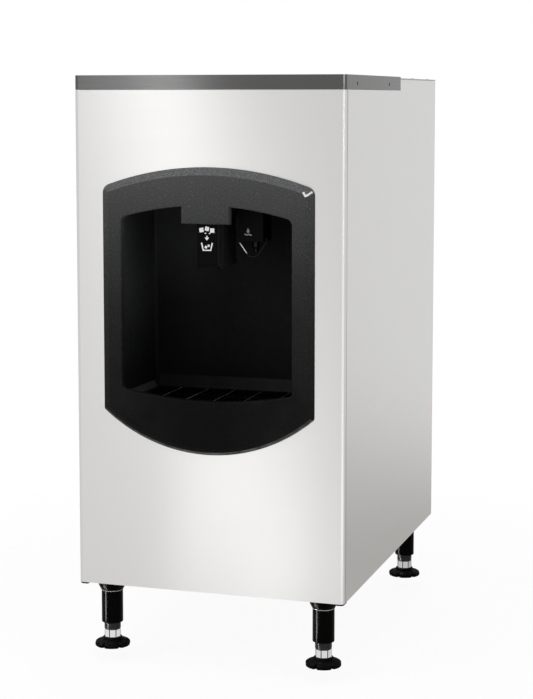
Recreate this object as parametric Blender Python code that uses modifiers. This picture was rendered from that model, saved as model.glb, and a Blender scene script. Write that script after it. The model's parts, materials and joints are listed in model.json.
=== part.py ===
"""Floor-standing ice and water dispenser for under a modular ice machine.

The cabinet's front faces -Y and its floor is Z = 0. Sizes are in metres. Each depth is measured back from
the cabinet's front face and each height up from the cabinet's underside, which the legs lift off the floor.
"""

from math import asin, atan2, cos, pi, radians, sin, sqrt, tau

import bmesh
import bpy
from mathutils import Matrix, Vector

# Driving dimensions
CABINET_WIDTH = 0.559
CABINET_DEPTH = 0.800
CABINET_HEIGHT = 1.028
LEG_HEIGHT = 0.140
SHEET = 0.0012
FIT = 0.0003
SEAM = 0.0008
OVERRUN = 0.004
WELD = 0.00001

# Casing
PANEL_BEND = 0.009
FRONT_RETURN = 0.0125
SIDE_FLANGE = 0.016
TRIM_HEIGHT = 0.0286
TRIM_WALL = 0.0025
TRIM_LEDGE = 0.030
TRIM_RETURN = 0.450
PAN_SHEET = 0.002
PAN_WALL = 0.025
POST_SHEET = 0.002
POST_LEG = 0.030
DECK_SHEET = 0.0025
DROP_WIDTH = 0.380
DROP_DEPTH = 0.290
DROP_FRONT = 0.430
DROP_CORNER = 0.020
COLLAR_FLANGE = 0.020
COLLAR_WALL = 0.0025
COLLAR_SLEEVE = 0.040
VENT_LENGTH = 0.060
VENT_HEIGHT = 0.005
VENT_PITCH = 0.014
VENT_LEVEL = 0.420
VENT_OFFSET = 0.130
VENT_COUNT = 5

# Bezel and its opening
BEZEL_WIDTH = 0.438
BEZEL_TOP = 0.849
BEZEL_TOP_RADIUS = 0.617
BEZEL_TOP_CORNER = 0.018
BEZEL_BOTTOM = 0.280
BEZEL_BOTTOM_RADIUS = 0.333
BEZEL_BOTTOM_CORNER = 0.002
BEZEL_PROUD = 0.013
BEZEL_SLOPE = 0.014
BEZEL_EDGE = 0.004
BEZEL_SKIN = 0.0035
BEZEL_RIM = 0.006
OPENING_WIDTH = 0.352
OPENING_TOP = 0.774
OPENING_TOP_RADIUS = 0.630
OPENING_TOP_CORNER = 0.014
OPENING_BOTTOM = 0.389
OPENING_BOTTOM_RADIUS = 0.870
OPENING_BOTTOM_CORNER = 0.008
OPENING_CHAMFER = 0.0025
TAB_WIDTH = 0.100
TAB_BOTTOM = 0.7385
CUT_OUT_BORDER = 0.022
HOUSING_BORDER = 0.008

# Alcove housing, sink and grille
ALCOVE_WIDTH = 0.380
ALCOVE_DEPTH = 0.205
ALCOVE_FLOOR = 0.378
ALCOVE_CEILING = 0.779
ALCOVE_CORNER = 0.010
MOULD_WALL = 0.003
CHUTE_CUT_WIDTH = 0.104
CHUTE_CUT_DEPTH = 0.128
CHUTE_CUT_TOP = 0.812
SINK_WIDTH = 0.332
SINK_FRONT = 0.020
SINK_BACK = 0.184
SINK_FLANGE = 0.009
SINK_FLANGE_SHEET = 0.002
SINK_WALL = 0.0025
SINK_BOTTOM = 0.318
SINK_STEP = 0.006
SINK_STEP_LEVEL = 0.368
SINK_OUTLET_RADIUS = 0.013
SINK_OUTLET_BORE = 0.008
SINK_OUTLET_LENGTH = 0.018
GRILLE_HEIGHT = 0.014
GRILLE_PLAY = 0.0005
GRILLE_RIM = 0.006
GRILLE_RIB = 0.0035
GRILLE_SLOTS = 24
GRILLE_BAR = 0.005

# Ice chute, its pin and bracket
CHUTE_WIDTH = 0.042
CHUTE_DEPTH = 0.115
CHUTE_BOTTOM = 0.649
CHUTE_WALL = 0.003
CHUTE_NECK = 0.742
CHUTE_MOUTH_WIDTH = 0.068
CHUTE_MOUTH_DROP = 0.007
CHUTE_MOUTH_FALL = 0.010
CHUTE_LIP_WIDTH = 0.048
CHUTE_LIP = 0.012
CHUTE_ROUND = 0.014
HINGE_DEPTH = 0.0085
HINGE_RISE = 0.010
HINGE_BARREL = 0.006
PIN_RADIUS = 0.003
PIN_LENGTH = 0.092
EAR_SHEET = 0.003
EAR_SIDE_PLAY = 0.002
EAR_OVER = 0.008
EAR_FRONT = 0.001
EAR_BACK = 0.016
BRACKET_SHEET = 0.0025
BRACKET_WIDTH = 0.140
BRACKET_BACK = 0.148
BRACKET_SLOT_WIDTH = 0.096
LUG_DEPTH = 0.040
LUG_RADIUS = 0.004
LUG_WIDTH = 0.009
CHUTE_SWING = 8.0

# Throat between the bin and the chute
THROAT_WIDTH = 0.060
THROAT_WALL = 0.0025
THROAT_MOUTH_TOP = 0.9275
THROAT_MOUTH_BOTTOM = 0.8625
THROAT_BEND = 0.300
THROAT_HEEL_DEPTH = 0.110
THROAT_HEEL = 0.806
THROAT_EXIT = 0.803
THROAT_FRONT = 0.018
THROAT_BROW = 0.835
THROAT_SHOULDER_DEPTH = 0.050
THROAT_SHOULDER = 0.855

# Gate in the throat and its solenoid
GATE_DEPTH = 0.215
GATE_LEVEL = 0.893
GATE_LENGTH = 0.048
GATE_SHEET = 0.0025
GATE_SIDE_PLAY = 0.001
GATE_HUB = 0.0055
GATE_PIN_RADIUS = 0.0025
GATE_SWING = 70.0
CRANK_RADIUS = 0.018
CRANK_SHEET = 0.003
CRANK_WIDTH = 0.009
CRANK_PIN_RADIUS = 0.002
CRANK_PIN_LENGTH = 0.010
CRANK_PLAY = 0.0006
FORK_HEIGHT = 0.016
FORK_LENGTH = 0.012
FORK_WIDTH = 0.006
PLUNGER_RADIUS = 0.004
PLUNGER_LENGTH = 0.050
SOLENOID_LENGTH = 0.046
SOLENOID_HEIGHT = 0.030
SOLENOID_WIDTH = 0.026
SOLENOID_ROUND = 0.002

# Ice switch on the throat
SWITCH_WIDTH = 0.010
SWITCH_FRONT = 0.028
SWITCH_LENGTH = 0.028
SWITCH_BOTTOM = 0.808
SWITCH_HEIGHT = 0.016
BUTTON_RADIUS = 0.0025
BUTTON_LENGTH = 0.014

# Bin
BIN_FRONT = 0.335
BIN_WALL = 0.022
BIN_SIDE_PLAY = 0.004
BIN_BACK_PLAY = 0.003
TROUGH_RADIUS = 0.205
TROUGH_SHOULDER = 0.810
BIN_EDGE = 0.015
BIN_SLOPE_FOOT = 0.620
BIN_SLOPE_TOP = 0.700
SHELF_SHEET = 0.002
SHELF_FLANGE = 0.030

# Paddle wheel drive
WHEEL_LEVEL = 0.735
WHEEL_RADIUS = 0.200
WHEEL_WIDTH = 0.075
WHEEL_HUB = 0.030
WHEEL_BLADES = 8
WHEEL_BLADE = 0.004
WHEEL_PLAY = 0.002
SHAFT_RADIUS = 0.010
SHAFT_BACK = 0.630
SHAFT_INSERT = 0.025
BEARING_RADIUS = 0.022
BEARING_FLANGE = 0.032
BEARING_FLANGE_SHEET = 0.0035
AGITATOR_HUB = 0.018
AGITATOR_FRONT = 0.470
AGITATOR_LENGTH = 0.130
AGITATOR_ARM = 0.105
AGITATOR_ROD = 0.006
AGITATOR_ARMS = 3
AGITATOR_STEP = 60.0
MOUNT_SHEET = 0.003
MOUNT_BORDER = 0.012
GEARBOX_WIDTH = 0.130
GEARBOX_HEIGHT = 0.170
GEARBOX_DEPTH = 0.045
GEARBOX_ABOVE = 0.060
GEARBOX_ROUND = 0.008
MOTOR_RADIUS = 0.043
MOTOR_LENGTH = 0.056
MOTOR_DROP = 0.055
MOTOR_CAP = 0.006

# Water outlet
WATER_OFFSET = 0.080
VALVE_WIDTH = 0.052
VALVE_FRONT = 0.030
VALVE_DEPTH = 0.056
VALVE_BOTTOM = 0.702
VALVE_ROUND = 0.004
NOZZLE_RADIUS = 0.008
NOZZLE_TIP_RADIUS = 0.005
NOZZLE_BORE = 0.003
NOZZLE_LENGTH = 0.022
NOZZLE_DEPTH = 0.064
LEVER_WIRE = 0.0016
LEVER_DEPTH = 0.042
LEVER_LEVEL = 0.709
LEVER_DROP = 0.036
LEVER_STUB = 0.006
LEVER_SWING = 14.0
INLET_RADIUS = 0.006
INLET_LENGTH = 0.020
TUBE_RADIUS = 0.004
TUBE_BEND = 0.045
TUBE_ROOF = 0.028

# Water supply, drain and electrics at the back
SOLENOID_VALVE_OFFSET = -0.150
SOLENOID_VALVE_LEVEL = 0.300
SOLENOID_VALVE_RADIUS = 0.017
SOLENOID_VALVE_LENGTH = 0.060
SOLENOID_COIL_RADIUS = 0.019
SOLENOID_COIL_HEIGHT = 0.036
FITTING_RADIUS = 0.011
FITTING_FLANGE = 0.018
FITTING_FLANGE_SHEET = 0.004
FITTING_PROUD = 0.026
FITTING_BORE = 0.006
FITTING_CHAMFER = 0.0015
FITTING_INSIDE = 0.006
DRAIN_LEVEL = 0.070
DRAIN_FITTING_RADIUS = 0.014
DRAIN_FITTING_INSIDE = 0.020
DRAIN_FLANGE = 0.022
DRAIN_BORE = 0.010
HOSE_RADIUS = 0.012
GLAND_OFFSET = 0.150
GLAND_LEVEL = 0.300
GLAND_RADIUS = 0.010
GLAND_FLANGE = 0.015
GLAND_TIP = 0.008
GLAND_BORE = 0.004
GLAND_INSIDE = 0.012
GLAND_LENGTH = 0.023
GLAND_DOME = 0.006
GLAND_NUT = 0.007
CONTROL_WIDTH = 0.140
CONTROL_HEIGHT = 0.130
CONTROL_DEPTH = 0.110
CONTROL_FRONT = 0.055
CONTROL_LEVEL = 0.840
CONTROL_ROUND = 0.003
CONTROL_LID = 0.0015
CONTROL_LID_LIP = 0.003

# Legs
LEG_OFFSET = 0.226
LEG_SETBACK = 0.046
COLLAR_RADIUS = 0.029
COLLAR_LIP = 0.002
COLLAR_TAPER = 0.017
TUBE_SHOULDER = 0.021
TUBE_STEP = 0.0008
LEG_TUBE_RADIUS = 0.022
LEG_TUBE_LENGTH = 0.082
LEG_CHAMFER = 0.0012
STEM_RADIUS = 0.017
STEM_TOP = 0.040
STEM_ROOF = 0.022
STEM_CHAMFER = 0.001
PAD_RADIUS = 0.036
PAD_PLATE = 0.007
PAD_SHOULDER = 0.010
PAD_HUB = 0.020
PAD_HEIGHT = 0.018
PAD_NOTCH = 0.0045
PAD_EDGE = 0.0015
PAD_LOBES = 6

# Facet counts
ARC_STEPS = 10
TROUGH_STEPS = 14
CORNER_STEPS = 3
ROUND_SIDES = 16
LEG_SIDES = 20
LARGE_SIDES = 24
LOBE_SHARES = (0, 0.13, 0.32, 0.5, 0.68, 0.87)
TUBE_STEPS = 2
HOSE_STEPS = 4

# Places worked out from the sizes above
FRONT_Y = BEZEL_PROUD - (CABINET_DEPTH + BEZEL_PROUD + FITTING_PROUD) / 2
HALF_WIDTH = CABINET_WIDTH / 2
TRIM_BOTTOM = CABINET_HEIGHT - TRIM_HEIGHT
DECK_TOP = CABINET_HEIGHT - TRIM_WALL - FIT
DECK_UNDER = DECK_TOP - DECK_SHEET
PANEL_TOP = DECK_UNDER - FIT
SIDE_FRONT = FRONT_RETURN + SEAM
SIDE_BACK = CABINET_DEPTH - SHEET - FIT
BIN_BOTTOM = WHEEL_LEVEL - TROUGH_RADIUS - BIN_WALL
BIN_INSIDE = BIN_FRONT + BIN_WALL
BIN_HALF = HALF_WIDTH - SHEET - BIN_SIDE_PLAY
BIN_BACK = SIDE_BACK - SHEET - BIN_BACK_PLAY
WHEEL_FRONT = BIN_INSIDE + FIT + BEARING_FLANGE_SHEET + WHEEL_PLAY
MOUNT_FRONT = BIN_FRONT - FIT - MOUNT_SHEET
GEARBOX_BACK = MOUNT_FRONT - FIT
GEARBOX_FRONT = GEARBOX_BACK - GEARBOX_DEPTH
CEILING_TOP = ALCOVE_CEILING + MOULD_WALL
HINGE_LEVEL = CEILING_TOP + HINGE_RISE
EAR_TOP = HINGE_LEVEL + EAR_OVER
CHUTE_MOUTH_FRONT = HINGE_LEVEL - CHUTE_MOUTH_DROP
CHUTE_MOUTH_BACK = CHUTE_MOUTH_FRONT - CHUTE_MOUTH_FALL

COLLECTION_NAME = "ice_and_water_dispenser"


def fresh_scene():
    """Removes what the scene holds and makes the collections for the parts and for the cutters."""
    for obj in list(bpy.data.objects):
        bpy.data.objects.remove(obj, do_unlink=True)
    parts = bpy.data.collections.new(COLLECTION_NAME)
    cutters = bpy.data.collections.new("cutters")
    bpy.context.scene.collection.children.link(parts)
    bpy.context.scene.collection.children.link(cutters)
    return parts, cutters


PARTS, CUTTERS = fresh_scene()


def material(name, colour, roughness, metallic):
    made = bpy.data.materials.new(name)
    made.use_nodes = True
    shader = made.node_tree.nodes["Principled BSDF"]
    shader.inputs["Base Color"].default_value = (*colour, 1)
    shader.inputs["Roughness"].default_value = roughness
    shader.inputs["Metallic"].default_value = metallic
    return made


STAINLESS = material("stainless", (0.80, 0.80, 0.79), 0.32, 1)
GALVANISED = material("galvanised", (0.55, 0.56, 0.57), 0.50, 1)
CHROME = material("chrome", (0.85, 0.86, 0.88), 0.08, 1)
BRASS = material("brass", (0.78, 0.62, 0.32), 0.30, 1)
TRIM_GREY = material("trim_grey", (0.13, 0.13, 0.13), 0.45, 0)
BLACK_MOULDED = material("black_moulded", (0.020, 0.020, 0.021), 0.38, 0)
BLACK_GLOSS = material("black_gloss", (0.008, 0.008, 0.008), 0.20, 0)
WHITE_MOULDED = material("white_moulded", (0.80, 0.80, 0.78), 0.45, 0)
ACETAL = material("acetal", (0.72, 0.71, 0.66), 0.40, 0)
MOTOR_GREY = material("motor_grey", (0.22, 0.23, 0.24), 0.45, 0.6)
RUBBER = material("rubber", (0.03, 0.03, 0.03), 0.80, 0)


def at(x, depth, height):
    """A point from its place across, its depth behind the front face and its height over the underside."""
    return Vector((x, FRONT_Y + depth, LEG_HEIGHT + height))


def link(obj):
    PARTS.objects.link(obj)
    return obj


def dress(obj, finish, pivot=None):
    """Gives a piece its material, and hangs it on the empty that stands on its joint's axis."""
    obj.data.materials.clear()
    obj.data.materials.append(finish)
    if pivot is not None:
        obj.parent = pivot
        obj.matrix_parent_inverse = Matrix.Translation(-pivot.location)
    return obj


def pivot(name, place):
    empty = bpy.data.objects.new(name, None)
    empty.location = place
    return link(empty)


def as_cutter(obj):
    for holder in list(obj.users_collection):
        holder.objects.unlink(obj)
    CUTTERS.objects.link(obj)
    obj.hide_render = True
    obj.display_type = "WIRE"
    return obj


def combine(obj, other, operation):
    step = obj.modifiers.new(operation.lower() + "_" + other.name, "BOOLEAN")
    step.operation = operation
    step.solver = "EXACT"
    step.object = as_cutter(other)
    return obj


def cut(obj, other):
    return combine(obj, other, "DIFFERENCE")


def join(obj, other):
    return combine(obj, other, "UNION")


def keep_common(obj, other):
    return combine(obj, other, "INTERSECT")


def bevel(obj, width, segments, angle=30):
    step = obj.modifiers.new("bevel", "BEVEL")
    step.width = width
    step.segments = segments
    step.limit_method = "ANGLE"
    step.angle_limit = radians(angle)
    return obj


def mesh_object(name, shape):
    mesh = bpy.data.meshes.new(name)
    shape.to_mesh(mesh)
    shape.free()
    return link(bpy.data.objects.new(name, mesh))


def smooth(obj):
    obj.data.shade_smooth()
    obj.data.set_sharp_from_angle(angle=radians(40))
    return obj


def box(name, low, high):
    """A block between two corners given as (x, depth, height)."""
    low = at(*low)
    high = at(*high)
    shape = bmesh.new()
    bmesh.ops.create_cube(shape, size=1)
    bmesh.ops.scale(shape, vec=high - low, verts=shape.verts)
    obj = mesh_object(name, shape)
    obj.location = (low + high) / 2
    return obj


def cylinder(name, radius, start, end, sides=ROUND_SIDES):
    """A round bar between two points given as (x, depth, height)."""
    start = at(*start)
    end = at(*end)
    shape = bmesh.new()
    bmesh.ops.create_cone(
        shape, cap_ends=True, segments=sides, radius1=radius, radius2=radius, depth=(end - start).length
    )
    obj = smooth(mesh_object(name, shape))
    obj.rotation_euler = (end - start).to_track_quat("Z", "Y").to_euler()
    obj.location = (start + end) / 2
    return obj


def turned(name, profile, place, direction=(0, 0, 1), sides=ROUND_SIDES, closed=False):
    """A turned piece. Its profile of (radius, height) runs down the outer side, top to bottom."""
    shape = bmesh.new()
    verts = [shape.verts.new((radius, 0, height)) for radius, height in profile]
    pairs = list(zip(verts, verts[1:]))
    if closed:
        pairs.append((verts[-1], verts[0]))
    for pair in pairs:
        shape.edges.new(pair)
    obj = mesh_object(name, shape)
    step = obj.modifiers.new("turn", "SCREW")
    step.steps = sides
    step.render_steps = sides
    step.use_merge_vertices = True
    step.merge_threshold = WELD
    step.use_smooth_shade = True
    obj.rotation_euler = Vector(direction).to_track_quat("Z", "Y").to_euler()
    obj.location = at(*place)
    return obj


TURNS = {
    "up": Matrix.Identity(4),
    "back": Matrix(((1, 0, 0, 0), (0, 0, -1, 0), (0, 1, 0, 0), (0, 0, 0, 1))),
    "across": Matrix(((0, 0, 1, 0), (1, 0, 0, 0), (0, 1, 0, 0), (0, 0, 0, 1))),
}


def plate(name, loops, low, high, direction):
    """Flat outlines, the first solid and the rest holes, extruded up, back or across from low to high."""
    curve = bpy.data.curves.new(name, "CURVE")
    curve.dimensions = "2D"
    curve.fill_mode = "BOTH"
    curve.extrude = (high - low) / 2
    for loop in loops:
        spline = curve.splines.new("POLY")
        spline.points.add(len(loop) - 1)
        spline.use_cyclic_u = True
        for point, (first, second) in zip(spline.points, loop):
            point.co = (first, second, 0, 1)
    drawn = link(bpy.data.objects.new(name + "_outline", curve))
    bpy.context.view_layer.update()
    shape = bmesh.new()
    mesh = bpy.data.meshes.new_from_object(drawn.evaluated_get(bpy.context.evaluated_depsgraph_get()))
    shape.from_mesh(mesh)
    bpy.data.meshes.remove(mesh)
    bpy.data.objects.remove(drawn, do_unlink=True)
    bmesh.ops.remove_doubles(shape, verts=shape.verts, dist=WELD)
    bmesh.ops.recalc_face_normals(shape, faces=shape.faces)
    obj = mesh_object(name, shape)
    middle = (low + high) / 2
    origins = {
        "up": at(0, 0, middle),
        "back": at(0, middle, 0),
        "across": at(middle, 0, 0),
    }
    obj.matrix_world = Matrix.Translation(origins[direction]) @ TURNS[direction]
    return obj


def folded(name, path, low, high, thickness):
    """Sheet metal standing on a path of (x, depth), its outer skin on the path, from low to high."""
    shape = bmesh.new()
    feet = [shape.verts.new(at(x, depth, low)) for x, depth in path]
    heads = [shape.verts.new(at(x, depth, high)) for x, depth in path]
    for i in range(len(path) - 1):
        shape.faces.new((feet[i], feet[i + 1], heads[i + 1], heads[i]))
    obj = mesh_object(name, shape)
    step = obj.modifiers.new("sheet", "SOLIDIFY")
    step.thickness = thickness
    step.offset = -1
    step.use_even_offset = True
    return obj


def lofted(name, rings):
    """A closed body through rings of equally many points, each given as (x, depth, height)."""
    shape = bmesh.new()
    rows = [[shape.verts.new(at(*point)) for point in ring] for ring in rings]
    for lower, upper in zip(rows, rows[1:]):
        for i in range(len(lower)):
            after = (i + 1) % len(lower)
            shape.faces.new((lower[i], lower[after], upper[after], upper[i]))
    shape.faces.new(rows[0][::-1])
    shape.faces.new(rows[-1])
    bmesh.ops.recalc_face_normals(shape, faces=shape.faces)
    return mesh_object(name, shape)


def pipe(name, points, radius, resolution=2):
    """A tube along points given as (x, depth, height)."""
    curve = bpy.data.curves.new(name, "CURVE")
    curve.dimensions = "3D"
    curve.bevel_depth = radius
    curve.bevel_resolution = resolution
    curve.use_fill_caps = True
    spline = curve.splines.new("POLY")
    spline.points.add(len(points) - 1)
    for point, place in zip(spline.points, points):
        point.co = (*at(*place), 1)
    return link(bpy.data.objects.new(name, curve))


def smooth_path(knots, steps):
    """Points on a smooth curve through the knots, whose first and last runs are straight."""
    knots = [Vector(knot) for knot in knots]
    points = [knots[0]]
    for before, start, end, after in zip(knots, knots[1:], knots[2:], knots[3:]):
        for i in range(steps):
            t = i / steps
            points.append(
                start
                + (end - before) * t / 2
                + (before * 2 - start * 5 + end * 4 - after) * t**2 / 2
                + (start * 3 - before - end * 3 + after) * t**3 / 2
            )
    return [tuple(point) for point in [*points, *knots[-2:]]]


def arc(centre, radius, start, end, steps):
    """Points on an arc, both ends included, with angles in radians."""
    return [
        (
            centre[0] + radius * cos(start + (end - start) * i / steps),
            centre[1] + radius * sin(start + (end - start) * i / steps),
        )
        for i in range(steps + 1)
    ]


def rectangle(left, front, right, back):
    return [(left, front), (right, front), (right, back), (left, back)]


def rounded_rectangle(left, front, right, back, radius):
    return (
        arc((right - radius, front + radius), radius, -pi / 2, 0, CORNER_STEPS)
        + arc((right - radius, back - radius), radius, 0, pi / 2, CORNER_STEPS)
        + arc((left + radius, back - radius), radius, pi / 2, pi, CORNER_STEPS)
        + arc((left + radius, front + radius), radius, pi, pi * 3 / 2, CORNER_STEPS)
    )


def mirrored(points):
    """The outline's other half, so that both together run on in one direction."""
    return [(-x, second) for x, second in reversed(points)]


def inset_polygon(points, distance):
    """The counter-clockwise polygon with each side moved in by the distance."""
    moved = []
    for i, point in enumerate(points):
        here = Vector(point)
        before = (here - Vector(points[i - 1])).normalized()
        after = (Vector(points[(i + 1) % len(points)]) - here).normalized()
        inward = Vector((-before.y - after.y, before.x + after.x)).normalized()
        square = Vector((-before.y, before.x))
        moved.append(tuple(here + inward * distance / inward.dot(square)))
    return moved


def arched_outline(
    half, top, top_radius, top_corner, bottom, bottom_radius, bottom_corner, inset, tab=None
):
    """A round-cornered outline with an arched head and foot, as (x, height), moved in by the inset.

    A tab is (half width, lower end) and hangs from the middle of the head."""
    side = half - inset
    head = top - top_radius
    head_radius = top_radius - inset
    foot = bottom + bottom_radius
    foot_radius = bottom_radius - inset
    upper = max(top_corner - inset, WELD)
    lower = max(bottom_corner - inset, WELD)
    upper_centre = (side - upper, head + sqrt((head_radius - upper) ** 2 - (side - upper) ** 2))
    lower_centre = (side - lower, foot - sqrt((foot_radius - lower) ** 2 - (side - lower) ** 2))
    head_angle = atan2(upper_centre[1] - head, upper_centre[0])
    foot_angle = atan2(lower_centre[1] - foot, lower_centre[0])
    right = arc((0, foot), foot_radius, -pi / 2, foot_angle, ARC_STEPS)
    right += arc(lower_centre, lower, foot_angle, 0, CORNER_STEPS)[1:]
    right += arc(upper_centre, upper, 0, head_angle, CORNER_STEPS)
    if tab is None:
        right += arc((0, head), head_radius, head_angle, pi / 2, ARC_STEPS)[1:]
        return right + mirrored(right)[1:-1]
    tab_half = tab[0] + inset
    tab_angle = pi / 2 - asin(tab_half / head_radius)
    right += arc((0, head), head_radius, head_angle, tab_angle, ARC_STEPS // 2)[1:]
    right.append((tab_half, tab[1] - inset))
    return right + mirrored(right)[:-1]


def bezel_outline(inset):
    return arched_outline(
        BEZEL_WIDTH / 2, BEZEL_TOP, BEZEL_TOP_RADIUS, BEZEL_TOP_CORNER,
        BEZEL_BOTTOM, BEZEL_BOTTOM_RADIUS, BEZEL_BOTTOM_CORNER, inset,
    )


def opening_outline(inset):
    return arched_outline(
        OPENING_WIDTH / 2, OPENING_TOP, OPENING_TOP_RADIUS, OPENING_TOP_CORNER,
        OPENING_BOTTOM, OPENING_BOTTOM_RADIUS, OPENING_BOTTOM_CORNER, inset,
        (TAB_WIDTH / 2, TAB_BOTTOM),
    )


def ring_at(outline, depth):
    return [(x, depth, height) for x, height in outline]


def through_hole(name, x, depth, height, radius, reach, direction, sides=ROUND_SIDES):
    """A round cutter of half length reach, along across, back or up."""
    steps = {"across": (reach, 0, 0), "back": (0, reach, 0), "up": (0, 0, reach)}[direction]
    start = (x - steps[0], depth - steps[1], height - steps[2])
    end = (x + steps[0], depth + steps[1], height + steps[2])
    return cylinder(name, radius, start, end, sides)


# Casing


def make_front_panel():
    half = [(0, 0)]
    half += arc((HALF_WIDTH - PANEL_BEND, PANEL_BEND), PANEL_BEND, -pi / 2, 0, CORNER_STEPS)
    half.append((HALF_WIDTH, FRONT_RETURN))
    panel = folded("front_panel", mirrored(half)[:-1] + half[1:], 0, TRIM_BOTTOM - FIT, SHEET)
    cut(panel, plate("front_cut_out", [bezel_outline(CUT_OUT_BORDER)], -OVERRUN, OVERRUN, "back"))
    return dress(smooth(panel), STAINLESS)


def make_side_panel(name, side):
    inner = HALF_WIDTH - SIDE_FLANGE
    path = [(inner, SIDE_FRONT), (HALF_WIDTH, SIDE_FRONT), (HALF_WIDTH, SIDE_BACK), (inner, SIDE_BACK)]
    if side < 0:
        path = mirrored(path)
    panel = folded(name, path, 0, PANEL_TOP, SHEET)
    reach = HALF_WIDTH + OVERRUN
    notch_low = (-reach, -OVERRUN, TRIM_BOTTOM - FIT)
    notch_high = (reach, TRIM_RETURN + FIT, CABINET_HEIGHT)
    cut(panel, box(name + "_trim_notch", notch_low, notch_high))
    pan_edge = HALF_WIDTH - SHEET
    low = (-pan_edge, -OVERRUN, -OVERRUN)
    high = (pan_edge, SIDE_FRONT + SHEET + OVERRUN, PAN_WALL + FIT)
    cut(panel, box(name + "_pan_notch", low, high))
    return dress(panel, STAINLESS)


def vent_slots(name, x):
    """One column of slots as a single cutter whose pieces lie apart."""
    shape = bmesh.new()
    for i in range(VENT_COUNT):
        made = bmesh.ops.create_cube(shape, size=1)["verts"]
        bmesh.ops.scale(shape, vec=(VENT_LENGTH, OVERRUN * 2, VENT_HEIGHT), verts=made)
        bmesh.ops.translate(shape, vec=(0, 0, VENT_PITCH * i), verts=made)
    slots = mesh_object(name, shape)
    slots.location = at(x, CABINET_DEPTH - SHEET / 2, VENT_LEVEL)
    return slots


def make_back_panel():
    low = (-HALF_WIDTH, CABINET_DEPTH - SHEET, 0)
    panel = box("back_panel", low, (HALF_WIDTH, CABINET_DEPTH, PANEL_TOP))
    holes = [
        ("inlet_hole", SOLENOID_VALVE_OFFSET, SOLENOID_VALVE_LEVEL, FITTING_RADIUS),
        ("drain_hole", 0, DRAIN_LEVEL, DRAIN_FITTING_RADIUS),
        ("gland_hole", GLAND_OFFSET, GLAND_LEVEL, GLAND_RADIUS),
    ]
    for name, x, height, radius in holes:
        cut(panel, through_hole(name, x, CABINET_DEPTH, height, radius + FIT, OVERRUN, "back"))
    for side in (-1, 1):
        cut(panel, vent_slots("vents_" + ("right" if side > 0 else "left"), side * VENT_OFFSET))
    return dress(panel, GALVANISED)


def cabinet_outline(inset, back):
    """The cabinet's plan moved in by the inset: rounded front corners and a square back."""
    bend = PANEL_BEND - inset
    right = arc((HALF_WIDTH - PANEL_BEND, PANEL_BEND), bend, -pi / 2, 0, CORNER_STEPS)
    right.append((HALF_WIDTH - inset, back))
    return right + mirrored(right)


def make_base_pan():
    skin = SHEET + FIT
    back = SIDE_BACK - SHEET - FIT
    pan = plate("base_pan", [cabinet_outline(skin, back)], 0, PAN_WALL, "up")
    inside = cabinet_outline(skin + PAN_SHEET, back - PAN_SHEET)
    cut(pan, plate("pan_inside", [inside], PAN_SHEET, PAN_WALL + OVERRUN, "up"))
    return dress(pan, GALVANISED)


def make_corner_post(name, side):
    outer = HALF_WIDTH - SHEET - PAN_SHEET - FIT * 2
    front = SIDE_FRONT + SHEET + FIT
    path = [(outer - POST_LEG, front), (outer, front), (outer, front + POST_LEG)]
    if side < 0:
        path = mirrored(path)
    return dress(folded(name, path, PAN_SHEET + FIT, PANEL_TOP, POST_SHEET), GALVANISED)


def make_top_trim():
    inner = HALF_WIDTH - TRIM_LEDGE
    right = cabinet_outline(0, TRIM_RETURN)[: CORNER_STEPS + 2]
    right += [(inner, TRIM_RETURN), (inner, TRIM_LEDGE)]
    trim = plate("top_trim", [right + mirrored(right)], TRIM_BOTTOM, CABINET_HEIGHT, "up")
    hollow = cabinet_outline(TRIM_WALL, TRIM_RETURN + OVERRUN)
    cut(trim, plate("trim_hollow", [hollow], TRIM_BOTTOM - OVERRUN, CABINET_HEIGHT - TRIM_WALL, "up"))
    return dress(smooth(trim), TRIM_GREY)


def drop_outline(grow):
    half = DROP_WIDTH / 2 + grow
    return rounded_rectangle(
        -half, DROP_FRONT - grow, half, DROP_FRONT + DROP_DEPTH + grow, DROP_CORNER + grow
    )


def make_top_deck():
    front = cabinet_outline(TRIM_WALL + FIT, TRIM_RETURN + FIT)[: CORNER_STEPS + 2]
    right = front + [(HALF_WIDTH, TRIM_RETURN + FIT), (HALF_WIDTH, CABINET_DEPTH)]
    outline = right + mirrored(right)
    deck = plate("top_deck", [outline, drop_outline(COLLAR_WALL + FIT)], DECK_UNDER, DECK_TOP, "up")
    return dress(deck, STAINLESS)


def make_drop_collar():
    flange_under = DECK_TOP + FIT
    collar = plate("drop_collar", [drop_outline(COLLAR_FLANGE)], flange_under, CABINET_HEIGHT, "up")
    sleeve_low = DECK_UNDER - COLLAR_SLEEVE
    sleeve_high = CABINET_HEIGHT - FIT
    join(collar, plate("collar_sleeve", [drop_outline(COLLAR_WALL)], sleeve_low, sleeve_high, "up"))
    inside_low = sleeve_low - OVERRUN
    cut(collar, plate("collar_inside", [drop_outline(0)], inside_low, CABINET_HEIGHT + OVERRUN, "up"))
    return dress(collar, WHITE_MOULDED)


# Bezel, alcove, sink and grille


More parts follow.
